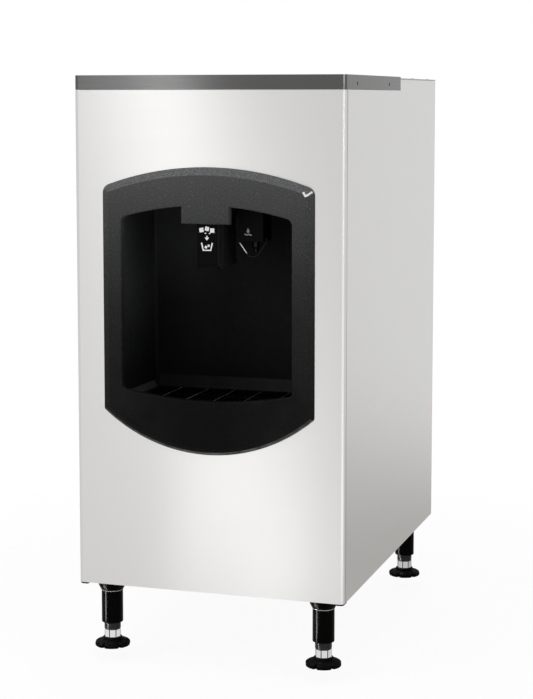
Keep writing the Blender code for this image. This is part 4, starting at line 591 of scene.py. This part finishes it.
def arched_outline(half, head_arch, foot_arch, corners, inset, tab=None, steps=36):
    """The outline of the bezel or its opening, moved in by the inset.

    An arch is (level, radius), corners are the upper and lower radii, and a tab is (half width, level).
    """
    top, top_radius = head_arch
    bottom, bottom_radius = foot_arch
    side = half - inset
    head = top - top_radius
    head_radius = top_radius - inset
    foot = bottom + bottom_radius
    foot_radius = bottom_radius - inset
    upper = max(corners[0] - inset, 0.0002)
    lower = max(corners[1] - inset, 0.0002)
    upper_centre = (side - upper, head + sqrt((head_radius - upper) ** 2 - (side - upper) ** 2))
    lower_centre = (side - lower, foot - sqrt((foot_radius - lower) ** 2 - (side - lower) ** 2))
    head_angle = atan2(upper_centre[1] - head, upper_centre[0])
    foot_angle = atan2(lower_centre[1] - foot, lower_centre[0])
    right = arc((0, foot), foot_radius, -pi / 2, foot_angle, steps)
    right += arc(lower_centre, lower, foot_angle, 0, 8)[1:]
    right += arc(upper_centre, upper, 0, head_angle, 10)
    if tab is None:
        right += arc((0, head), head_radius, head_angle, pi / 2, steps)[1:]
        return right + mirrored(right)[1:-1]
    tab_half = tab[0] + inset
    tab_angle = pi / 2 - asin(tab_half / head_radius)
    right += arc((0, head), head_radius, head_angle, tab_angle, steps // 2)[1:]
    right.append((tab_half, tab[1] - inset))
    return right + mirrored(right)[:-1]


def bezel_outline(inset):
    return arched_outline(0.219, (0.849, 0.617), (0.280, 0.333), (0.018, 0.006), inset)


def opening_outline(inset):
    return arched_outline(0.176, (0.774, 0.630), (0.389, 0.870), (0.014, 0.008), inset, (0.050, 0.7385))


def ring(outline, depth):
    return [at(x, depth, height) for x, height in outline]


def make_bezel():
    """The moulded bezel: a sloped and rounded border, a flat face and a lipped opening."""
    shape = bmesh.new()
    outer = [
        (0.0, -0.0004), (0.0, -0.0014), (0.0003, -0.0025), (0.0009, -0.0035), (0.0018, -0.0044),
        (0.0030, -0.0054), (0.0062, -0.0077), (0.0143, -0.0123), (0.0152, -0.0128), (0.0164, -0.0130),
    ]
    inner = [
        (-0.0036, -0.0130), (-0.0028, -0.0129), (-0.0016, -0.0124), (-0.0006, -0.0114),
        (0.0, -0.0100), (0.0, 0.0010),
    ]
    outside = add_loft(shape, [ring(bezel_outline(i), d) for i, d in outer], caps=False)
    inside = add_loft(shape, [ring(opening_outline(i), d) for i, d in inner], caps=False)
    border, lip, hollow = 0.0130, -0.0060, -0.0080
    back_out = [shape.verts.new(p) for p in ring(bezel_outline(border), -0.0004)]
    back_in = [shape.verts.new(p) for p in ring(opening_outline(lip), 0.0010)]
    back_low = [shape.verts.new(p) for p in ring(opening_outline(lip), hollow)]
    back_rim = [shape.verts.new(p) for p in ring(bezel_outline(border), hollow)]

    def sheet(first, second):
        edges = []
        for loop in (first, second):
            for i in range(len(loop)):
                pair = (loop[i], loop[(i + 1) % len(loop)])
                edges.append(shape.edges.get(pair) or shape.edges.new(pair))
        bmesh.ops.triangle_fill(shape, edges=edges, use_beauty=True)

    add_strip(shape, outside[0], back_out)
    add_strip(shape, back_out, back_rim)
    add_strip(shape, inside[-1], back_in)
    add_strip(shape, back_in, back_low)
    sheet(outside[-1], inside[0])
    sheet(back_rim, back_low)
    piece("bezel_moulding", shape, BEZEL_GRAIN, "cabinet", ["bezel"], 28)


make_bezel()


# Ice chute: face plate, side ribs and pictograms


def make_chute_dress():
    """The chute's face plate, and the ribs on its sides."""
    shape = bmesh.new()
    add_block(shape, at(-0.0185, -0.0012, 0.680), at(0.0185, 0.0002, 0.762), 0.0005)
    piece("chute_face_plate", shape, CHUTE_BLACK, "chute")
    shape = bmesh.new()
    for side in (-1, 1):
        left, right = sorted((side * 0.0205, side * 0.0222))
        for depth in (0.018, 0.044, 0.070, 0.096):
            add_block(shape, at(left, depth, 0.664), at(right, depth + 0.003, 0.738), 0.0006)
    piece("chute_side_ribs", shape, CHUTE_BLACK, "chute")


def outline_stroke(points, width):
    """A closed outline round an open line, as wide as asked."""
    left = []
    right = []
    for i, point in enumerate(points):
        here = Vector(point)
        before = Vector(points[max(i - 1, 0)])
        after = Vector(points[min(i + 1, len(points) - 1)])
        along = (after - before).normalized()
        across = Vector((-along.y, along.x)) * width / 2
        left.append(tuple(here + across))
        right.append(tuple(here - across))
    return left + right[::-1]


def make_pictograms():
    """Plain signs on the chute: ice cubes, an arrow and a cup."""
    shape = bmesh.new()
    front, back = -0.0015, -0.0011

    def stroke(points, width):
        add_prism(shape, outline_stroke(points, width), front, back)

    def cube(x, height, size, turn):
        angles = [turn + pi / 2 * i for i in range(4)]
        add_prism(shape, [(x + size * cos(a), height + size * sin(a)) for a in angles], front, back)

    cube(-0.0112, 0.7265, 0.0061, 0.95)
    cube(0.0002, 0.7290, 0.0058, 0.60)
    cube(0.0110, 0.7258, 0.0061, 0.78)
    stroke([(-0.0045, 0.7200), (-0.0012, 0.7200)], 0.0020)
    stroke([(0.0040, 0.7196), (0.0072, 0.7205)], 0.0020)
    stroke([(0.0, 0.7150), (0.0, 0.7110)], 0.0026)
    add_prism(shape, [(-0.0048, 0.7118), (0.0048, 0.7118), (0.0, 0.7060)], front, back)
    stroke([(-0.0112, 0.7015), (-0.0078, 0.6868), (0.0078, 0.6868), (0.0112, 0.7015)], 0.0028)
    cube(-0.0020, 0.6930, 0.0034, 0.5)
    cube(0.0036, 0.6958, 0.0030, 1.0)
    piece("chute_pictograms", shape, PRINT, "chute")


make_chute_dress()
make_pictograms()


# Water outlet


def round_wire(name, points, radius):
    """The mesh of a round wire through the points."""
    curve = bpy.data.curves.new(name, "CURVE")
    curve.dimensions = "3D"
    curve.bevel_depth = radius
    curve.bevel_resolution = 6
    curve.use_fill_caps = True
    line = curve.splines.new("POLY")
    line.points.add(len(points) - 1)
    for point, target in zip(points, line.points):
        target.co = (*point, 1)
    holder = bpy.data.objects.new(name + "_line", curve)
    bpy.context.scene.collection.objects.link(holder)
    bpy.context.view_layer.update()
    mesh = bpy.data.meshes.new_from_object(holder.evaluated_get(bpy.context.evaluated_depsgraph_get()))
    bpy.data.objects.remove(holder)
    shape = bmesh.new()
    shape.from_mesh(mesh)
    bpy.data.meshes.remove(mesh)
    return shape


def rounded_path(points, radius, steps=6):
    """The path with each inner corner turned into an arc."""
    made = [points[0]]
    for before, corner, after in zip(points, points[1:], points[2:]):
        one = before - corner
        two = after - corner
        reach = min(radius, one.length * 0.45, two.length * 0.45)
        start = corner + one.normalized() * reach
        end = corner + two.normalized() * reach
        for i in range(steps + 1):
            share = i / steps
            made.append(start * (1 - share) ** 2 + corner * 2 * share * (1 - share) + end * share ** 2)
    made.append(points[-1])
    return made


def make_water_outlet():
    """The push lever's bent wire, and a plain sign over it: a drop and a wave."""
    side = 0.0292
    level = 0.709
    foot = level - 0.036
    half = [
        (side - 0.0086, level), (side, level), (side, level - 0.006),
        (side / 3, foot + 0.003), (side / 6, foot),
    ]
    points = [at(OUTLET_X + x, 0.042, height) for x, height in half + mirrored(half)]
    wire = round_wire("water_lever_wire", rounded_path(points, 0.004), 0.0016)
    piece("water_lever_wire", wire, HIGHLIT_WIRE, "lever", ["water_lever"])
    shape = bmesh.new()
    centre = 0.0745
    front, back = 0.0296, 0.0301
    drop = arc((centre, 0.7232), 0.0029, pi * 0.86, pi * 2.14, 14) + [(centre, 0.7304)]
    add_prism(shape, drop, front, back)
    wave = [(centre - 0.0072 + 0.0012 * i, 0.7168 + 0.0008 * sin(i * 1.05)) for i in range(13)]
    add_prism(shape, outline_stroke(wave, 0.0022), front, back)
    piece("water_sign", shape, LABEL, "cabinet")


make_water_outlet()


# Recess foot: cove between the walls and the sink, and raised rods on the grille


def make_recess_foot():
    floor = 0.3781
    inner_x, inner_back = 0.1790, 0.1945
    cove = [(0.0, 0.0), (0.0, 0.0022), (0.0030, 0.0050), (0.0065, 0.0090), (0.0092, 0.0140), (0.0092, 0.0)]
    shape = bmesh.new()
    for side in (-1, 1):
        rings = []
        for depth in (0.030, 0.090, 0.150, 0.1940):
            rings.append([at(side * (inner_x + move), depth, floor + rise) for move, rise in cove])
        add_loft(shape, rings)
    piece("recess_side_coves", shape, LIT_COVE, "cabinet")
    shape = bmesh.new()
    rings = []
    for x in (-inner_x, -0.0597, 0.0597, inner_x):
        rings.append([at(x, inner_back + move, floor + rise * 1.9) for move, rise in cove])
    add_loft(shape, rings)
    piece("recess_back_cove", shape, SHADED_COVE, "cabinet")
    shape = bmesh.new()
    for x in (-0.118, -0.059, 0.0, 0.059, 0.118):
        add_block(shape, at(x - 0.0008, 0.030, 0.3818), at(x + 0.0008, 0.174, 0.3832), 0.0004)
    piece("grille_rods", shape, ROD_GREY, "grille")


make_recess_foot()


# Legs


def make_leg(corner, x, depth):
    """A turned socket with a pale ring as its painted highlight, and a threaded stem with wrench flats on a
    scalloped pad.
    """
    leg = f"{corner}_leg"
    body = f"{corner}_foot"
    place = at(x, depth, 0)
    socket = [
        (0, -0.0004), (0.0282, -0.0004), (0.0288, -0.0007), (0.0290, -0.0012), (0.0290, -0.0040),
        (0.0286, -0.0080), (0.0277, -0.0120), (0.0263, -0.0154), (0.0246, -0.0184), (0.0235, -0.0202),
        (0.0229, -0.0210), (0.0226, -0.0214), (0.0219, -0.0218), (0.0219, -0.0228), (0.0220, -0.0236),
        (0.0220, -0.0886), (0.0217, -0.0896), (0.0210, -0.0900), (0.0177, -0.0900), (0.0177, -0.0220),
        (0, -0.0220),
    ]
    shape = bmesh.new()
    add_turned(shape, socket, place, sides=64)
    piece(leg + "_socket", shape, BLACK_GLOSS, "cabinet", [leg], 40)

    # A pale ring under the flare: a painted highlight
    highlight_ring = [(0.0220, -0.0217), (0.0229, -0.0219), (0.0229, -0.0226), (0.0220, -0.0228)]
    shape = bmesh.new()
    add_turned(shape, highlight_ring, place, sides=64, closed=True)
    piece(leg + "_highlight_ring", shape, HIGHLIGHT_RING, "cabinet")

    crest, root = 0.0170, 0.0164
    thread = [(0, -0.0412), (0.0160, -0.0412)]
    for i in range(31):
        level = -0.0424 - 0.0020 * i
        thread += [(crest, level), (crest, level - 0.0006), (root, level - 0.0010), (root, level - 0.0016)]
    thread += [(0.0166, -0.1046), (0.0150, -0.1050), (0.0150, -0.1215), (0, -0.1215)]
    shape = bmesh.new()
    add_turned(shape, thread, place, sides=48)
    piece(f"{corner}_stem_thread", shape, DARK_THREAD, body, [f"{corner}_foot_stem"])

    flats = 8
    core = 0.0148
    flat_rings = [
        (0.0160, -0.1048, 0.94), (0.0172, -0.1056, 1.0), (0.0172, -0.1206, 1.0), (0.0160, -0.1214, 0.94),
    ]
    shape = bmesh.new()
    for i in range(flats):
        middle = tau * (i + 0.5) / flats
        half = tau / flats / 2 * 0.86
        rings = []
        for radius, height, narrow in flat_rings:
            points = []
            for reach, turn in ((core, -half), (radius, -half), (radius, half), (core, half)):
                angle = middle + turn * narrow
                points.append(place + Vector((reach * cos(angle), reach * sin(angle), height)))
            rings.append(points)
        add_loft(shape, rings)
    piece(f"{corner}_stem_flats", shape, CHROME, body)

    lobes = 6
    steps = 96

    def lobed(inset, height, deep):
        """A ring of the pad at a height above its underside, with notches so deep between its lobes."""
        points = []
        for i in range(steps):
            angle = tau * i / steps
            turn = ((angle + radians(42)) * lobes / tau) % 1.0
            notch = max(0.0, 1 - abs(min(turn, 1 - turn)) / 0.13)
            radius = 0.036 - inset - deep * notch ** 1.5
            points.append(place + Vector((radius * cos(angle), radius * sin(angle), height - LEG_HEIGHT)))
        return points

    rings = [
        lobed(0.0020, 0.0001, 0.0085), lobed(0.0006, 0.0006, 0.0085), lobed(0.0000, 0.0018, 0.0085),
        lobed(0.0000, 0.0060, 0.0085), lobed(0.0007, 0.0076, 0.0085), lobed(0.0026, 0.0090, 0.0080),
        lobed(0.0080, 0.0108, 0.0048), lobed(0.0140, 0.0120, 0.0), lobed(0.0158, 0.0128, 0.0),
        lobed(0.0160, 0.0165, 0.0), lobed(0.0168, 0.0178, 0.0),
    ]
    shape = bmesh.new()
    add_loft(shape, rings)
    piece(f"{corner}_pad_lobed", shape, RUBBER, body, [f"{corner}_foot_pad"], 50)


for end, leg_depth in (("front", FRONT_LEG), ("back", BACK_LEG)):
    make_leg(end + "_left", -LEG_X, leg_depth)
    make_leg(end + "_right", LEG_X, leg_depth)


# Fasteners


def add_screw(shape, place, direction, radius=0.0042, height=0.0019):
    """A pan head with a round recess."""
    profile = [
        (0, 0), (radius, 0), (radius, height * 0.35), (radius * 0.86, height * 0.75),
        (radius * 0.55, height), (radius * 0.38, height), (radius * 0.34, height * 0.5), (0, height * 0.5),
    ]
    add_turned(shape, profile, place, direction, 20)


def make_trim_fasteners():
    """The top trim with four countersunk holes, and the flush screws in them."""
    hole = [(0, -0.0014), (0.0030, -0.0014), (0.0039, 0.0002), (0, 0.0002)]
    head = [
        (0, -0.0014), (0.0029, -0.0014), (0.0035, -0.0003), (0.0033, -0.0001), (0.0014, -0.0001),
        (0.0011, -0.0010), (0, -0.0010),
    ]
    cutter = bmesh.new()
    screws = bmesh.new()
    for side in (-1, 1):
        for depth in (0.086, 0.348):
            place = at(side * HALF_WIDTH, depth, 1.0115)
            add_turned(cutter, hole, place, (side, 0, 0), 24)
            add_turned(screws, head, place, (side, 0, 0), 24)
    bmesh.ops.recalc_face_normals(cutter, faces=cutter.faces)
    holes = bpy.data.meshes.new("trim_holes")
    cutter.to_mesh(holes)
    cutter.free()
    drill = bpy.data.objects.new("trim_holes", holes)
    plain = NODES["top_trim"].data.copy()
    plain.attributes.remove(plain.attributes["custom_normal"])
    shape = bmesh.new()
    shape.from_mesh(plain)
    bmesh.ops.remove_doubles(shape, verts=shape.verts, dist=0.00001)
    shape.to_mesh(plain)
    shape.free()
    blank = bpy.data.objects.new("trim_blank", plain)
    for helper in (drill, blank):
        bpy.context.scene.collection.objects.link(helper)
    bore = blank.modifiers.new("bore", "BOOLEAN")
    bore.solver = "EXACT"
    bore.object = drill
    bpy.context.view_layer.update()
    drilled = bpy.data.meshes.new_from_object(blank.evaluated_get(bpy.context.evaluated_depsgraph_get()))
    bpy.data.objects.remove(drill)
    bpy.data.objects.remove(blank)
    shape = bmesh.new()
    shape.from_mesh(drilled)
    for mesh in (holes, plain, drilled):
        bpy.data.meshes.remove(mesh)
    piece("trim_drilled", shape, TRIM, "cabinet", ["top_trim"], 38)
    piece("trim_screws", screws, BLACK_FACE, "cabinet")


def make_screws():
    """The screws of the back panel and of the deck."""
    shape = bmesh.new()
    rows = (((-0.268, 0.268), (0.030, 0.270, 0.512, 0.754, 0.992)), ((-0.090, 0.090), (0.016, 1.008)))
    for sides, heights in rows:
        for x in sides:
            for height in heights:
                add_screw(shape, at(x, CABINET_DEPTH, height), (0, 1, 0))
    piece("back_screws", shape, STAINLESS_BAR, "cabinet")
    shape = bmesh.new()
    for x in (-0.266, 0.266):
        for depth in (0.490, 0.620, 0.770):
            add_screw(shape, at(x, depth, 1.0252), (0, 0, 1))
    piece("deck_screws", shape, STAINLESS_BAR, "cabinet")


def make_corner_plugs():
    """Thin black plugs that close the folded corners of the front panel from below."""
    outline = [(0.2600, 0.0012), (0.2710, 0.0012)] + arc((0.2710, 0.0088), 0.0076, -pi / 2, 0, 8)
    outline += [(0.2786, 0.0260), (0.2600, 0.0260)]
    middle, half = 0.2693, 0.0093
    shape = bmesh.new()
    for side in (-1, 1):
        rings = []
        for level, inset in ((0.0, 0.0), (-0.0026, 0.0), (-0.0034, 0.0008)):
            shrink = 1 - inset / half
            rings.append([
                at(side * (middle + (x - middle) * shrink), depth + inset, level) for x, depth in outline
            ])
        add_loft(shape, rings)
    piece("panel_corner_plugs", shape, RUBBER, "cabinet")


make_trim_fasteners()
make_screws()
make_corner_plugs()


# Stage, lights and camera


def area_light(name, place, target, width, height, glow, lean, lights):
    """A softbox of the radiance glow, unseen by the camera.

    It lights matt surfaces or reflections, and its lean is a turn in degrees about the line to its target.
    """
    data = bpy.data.lights.new(name, "AREA")
    data.shape = "RECTANGLE"
    data.size = width
    data.size_y = height
    data.energy = glow * pi * width * height
    made = bpy.data.objects.new(name, data)
    aim = Vector(target) - Vector(place)
    turn = Matrix.Rotation(radians(lean), 4, aim.normalized())
    made.matrix_world = Matrix.Translation(place) @ turn @ aim.to_track_quat("-Z", "Y").to_matrix().to_4x4()
    made.visible_camera = False
    made.visible_diffuse = lights != "reflections"
    made.visible_glossy = lights != "matt"
    bpy.context.scene.collection.objects.link(made)


def make_floor():
    """The floor: white to the camera but for a soft shadow, and low enough for the feet's lowest place."""
    shape = bmesh.new()
    bmesh.ops.create_grid(shape, x_segments=2, y_segments=2, size=9.0)
    mesh = bpy.data.meshes.new("studio_floor")
    shape.to_mesh(mesh)
    shape.free()
    floor = bpy.data.objects.new("studio_floor", mesh)
    floor.location.z = -FEET_DOWN
    bpy.context.scene.collection.objects.link(floor)
    finish = Finish("studio_floor", (0.86, 0.86, 0.86), 0.9)
    white = finish.node("ShaderNodeEmission")
    path = finish.node("ShaderNodeLightPath")
    coordinates = finish.node("ShaderNodeTexCoord")
    away = finish.node("ShaderNodeVectorMath", operation="LENGTH")
    finish.link(coordinates.outputs["Object"], away.inputs[0])
    fade = finish.stretch(away.outputs["Value"], 0.7, 1.6, 0.92, 1.0)

    # White in reflections and through glass too, but dimmer round a place right of the cabinet: a painted
    # shadow
    indirect = finish.node("ShaderNodeMath", operation="MAXIMUM")
    finish.link(path.outputs["Is Glossy Ray"], indirect.inputs[0])
    finish.link(path.outputs["Is Transmission Ray"], indirect.inputs[1])
    seen = finish.node("ShaderNodeMath", operation="MAXIMUM")
    finish.link(finish.both(fade, path.outputs["Is Camera Ray"]), seen.inputs[0])
    finish.link(indirect.outputs[0], seen.inputs[1])
    beside = finish.node("ShaderNodeVectorMath", operation="DISTANCE")
    finish.link(coordinates.outputs["Object"], beside.inputs[0])
    beside.inputs[1].default_value = (0.60, 0.75, 0.0)
    shade = finish.both(finish.stretch(beside.outputs["Value"], 0.35, 1.90, 1.0, 0.0), indirect.outputs[0])
    finish.link(finish.blend(shade, (1.0, 1.0, 1.0), (0.535, 0.52, 0.50)), white.inputs["Color"])
    mix = finish.node("ShaderNodeMixShader")
    finish.link(seen.outputs[0], mix.inputs[0])
    finish.link(finish.shader.outputs[0], mix.inputs[1])
    finish.link(white.outputs[0], mix.inputs[2])
    finish.link(mix.outputs[0], finish.tree.nodes["Material Output"].inputs["Surface"])
    mesh.materials.append(finish.material)


def make_world():
    """Even soft light, with white behind whatever is seen directly, in a reflection or through glass."""
    world = bpy.data.worlds.new("studio")
    bpy.context.scene.world = world
    world.use_nodes = True
    tree = world.node_tree
    soft = tree.nodes["Background"]
    soft.inputs["Color"].default_value = (1, 1, 1, 1)
    soft.inputs["Strength"].default_value = 0.55
    white = tree.nodes.new("ShaderNodeBackground")
    white.inputs["Color"].default_value = (1, 1, 1, 1)
    white.inputs["Strength"].default_value = 1.0
    path = tree.nodes.new("ShaderNodeLightPath")
    seen = tree.nodes.new("ShaderNodeMath")
    seen.operation = "MAXIMUM"
    tree.links.new(path.outputs["Is Camera Ray"], seen.inputs[0])
    tree.links.new(path.outputs["Is Glossy Ray"], seen.inputs[1])
    any_seen = tree.nodes.new("ShaderNodeMath")
    any_seen.operation = "MAXIMUM"
    tree.links.new(seen.outputs[0], any_seen.inputs[0])
    tree.links.new(path.outputs["Is Transmission Ray"], any_seen.inputs[1])
    mix = tree.nodes.new("ShaderNodeMixShader")
    tree.links.new(any_seen.outputs[0], mix.inputs[0])
    tree.links.new(soft.outputs[0], mix.inputs[1])
    tree.links.new(white.outputs[0], mix.inputs[2])
    tree.links.new(mix.outputs[0], tree.nodes["World Output"].inputs["Surface"])


def make_camera():
    """The photo's viewpoint, fitted to the cabinet's corners."""
    sensor = 36.0
    data = bpy.data.cameras.new("photo_view")
    data.sensor_width = sensor
    data.lens = FOCAL_PIXELS / PHOTO_HEIGHT * sensor
    data.shift_y = -0.10
    data.clip_start = 0.05
    data.clip_end = 60.0
    camera = bpy.data.objects.new("photo_view", data)
    camera.location = CAMERA_PLACE
    yaw = radians(17.533)
    pitch = radians(5.865)
    forward = Vector((-sin(yaw) * cos(pitch), cos(yaw) * cos(pitch), -sin(pitch)))
    camera.rotation_euler = forward.to_track_quat("-Z", "Y").to_euler()
    bpy.context.scene.collection.objects.link(camera)
    bpy.context.scene.camera = camera


def light_legs():
    """A narrow lamp by each leg, where its tube mirrors it towards the camera as an upright line."""
    middle = -0.060
    away = 0.056
    aside = radians(62.6)
    for depth in (FRONT_LEG, BACK_LEG):
        for x in (-LEG_X, LEG_X):
            leg = at(x, depth, middle)
            angle = atan2(CAMERA_PLACE.x - leg.x, leg.y - CAMERA_PLACE.y) - aside
            beside_leg = leg + away * Vector((sin(angle), -cos(angle), 0))
            area_light("leg_softbox", beside_leg, leg, 0.008, 0.070, 130.0, 0.0, "reflections")


# Each row holds a name, place, target, width, height, glow, lean and what it lights, as for area_light.
SOFTBOXES = (
    ("key_softbox", (-2.4, -2.6, 1.6), (0.0, -0.2, 0.6), 1.0, 2.4, 7.0, 0.0, "matt"),
    ("fill_softbox", (2.6, -1.6, 1.1), (0.2, -0.2, 0.6), 1.2, 2.0, 2.6, 0.0, "matt"),
    ("top_softbox", (0.0, -0.4, 3.2), (0.0, 0.0, 0.8), 2.0, 2.0, 2.0, 0.0, "matt"),
    ("back_softbox", (-0.8, 3.4, 2.4), (0.0, 0.2, 0.6), 1.8, 1.8, 2.0, 0.0, "matt"),
    ("strip_softbox", (-0.6375, -2.0, 0.95), (-0.6375, 0.0, 0.95), 0.15, 2.8, 1.80, -16.2, "reflections"),
    ("low_softbox", (-0.13, -1.0, 0.14), (-0.13, 0.0, 0.14), 0.34, 0.30, 0.5, 0.0, "reflections"),
    ("left_softbox", (-0.99, -2.08, 0.72), (-0.99, 0.0, 0.72), 0.72, 1.6, 0.12, 0.0, "reflections"),
    ("floor_softbox", (0.34, -0.90, 0.03), (0.34, -0.90, 1.0), 0.70, 0.60, 0.46, 0.0, "reflections"),
    ("bend_softbox", (2.27, -2.07, 0.25), (0.28, -0.40, 0.25), 4.4, 1.6, 0.24, 0.0, "reflections"),
    ("foot_softbox", (0.98, -0.90, 0.04), (0.98, -0.90, 1.0), 0.80, 0.90, 1.10, 0.0, "reflections"),
    ("trim_softbox", (-0.755, -1.94, 1.169), (-0.755, 0.0, 1.169), 0.42, 0.14, 1.25, 0.0, "reflections"),
    ("corner_softbox", (1.20, -1.17, 1.200), (0.28, -0.40, 1.165), 0.80, 0.10, 5.2, 0.0, "reflections"),
)

make_floor()
make_world()
make_camera()
for softbox in SOFTBOXES:
    area_light(*softbox)
light_legs()

bpy.context.scene.view_settings.view_transform = "Standard"
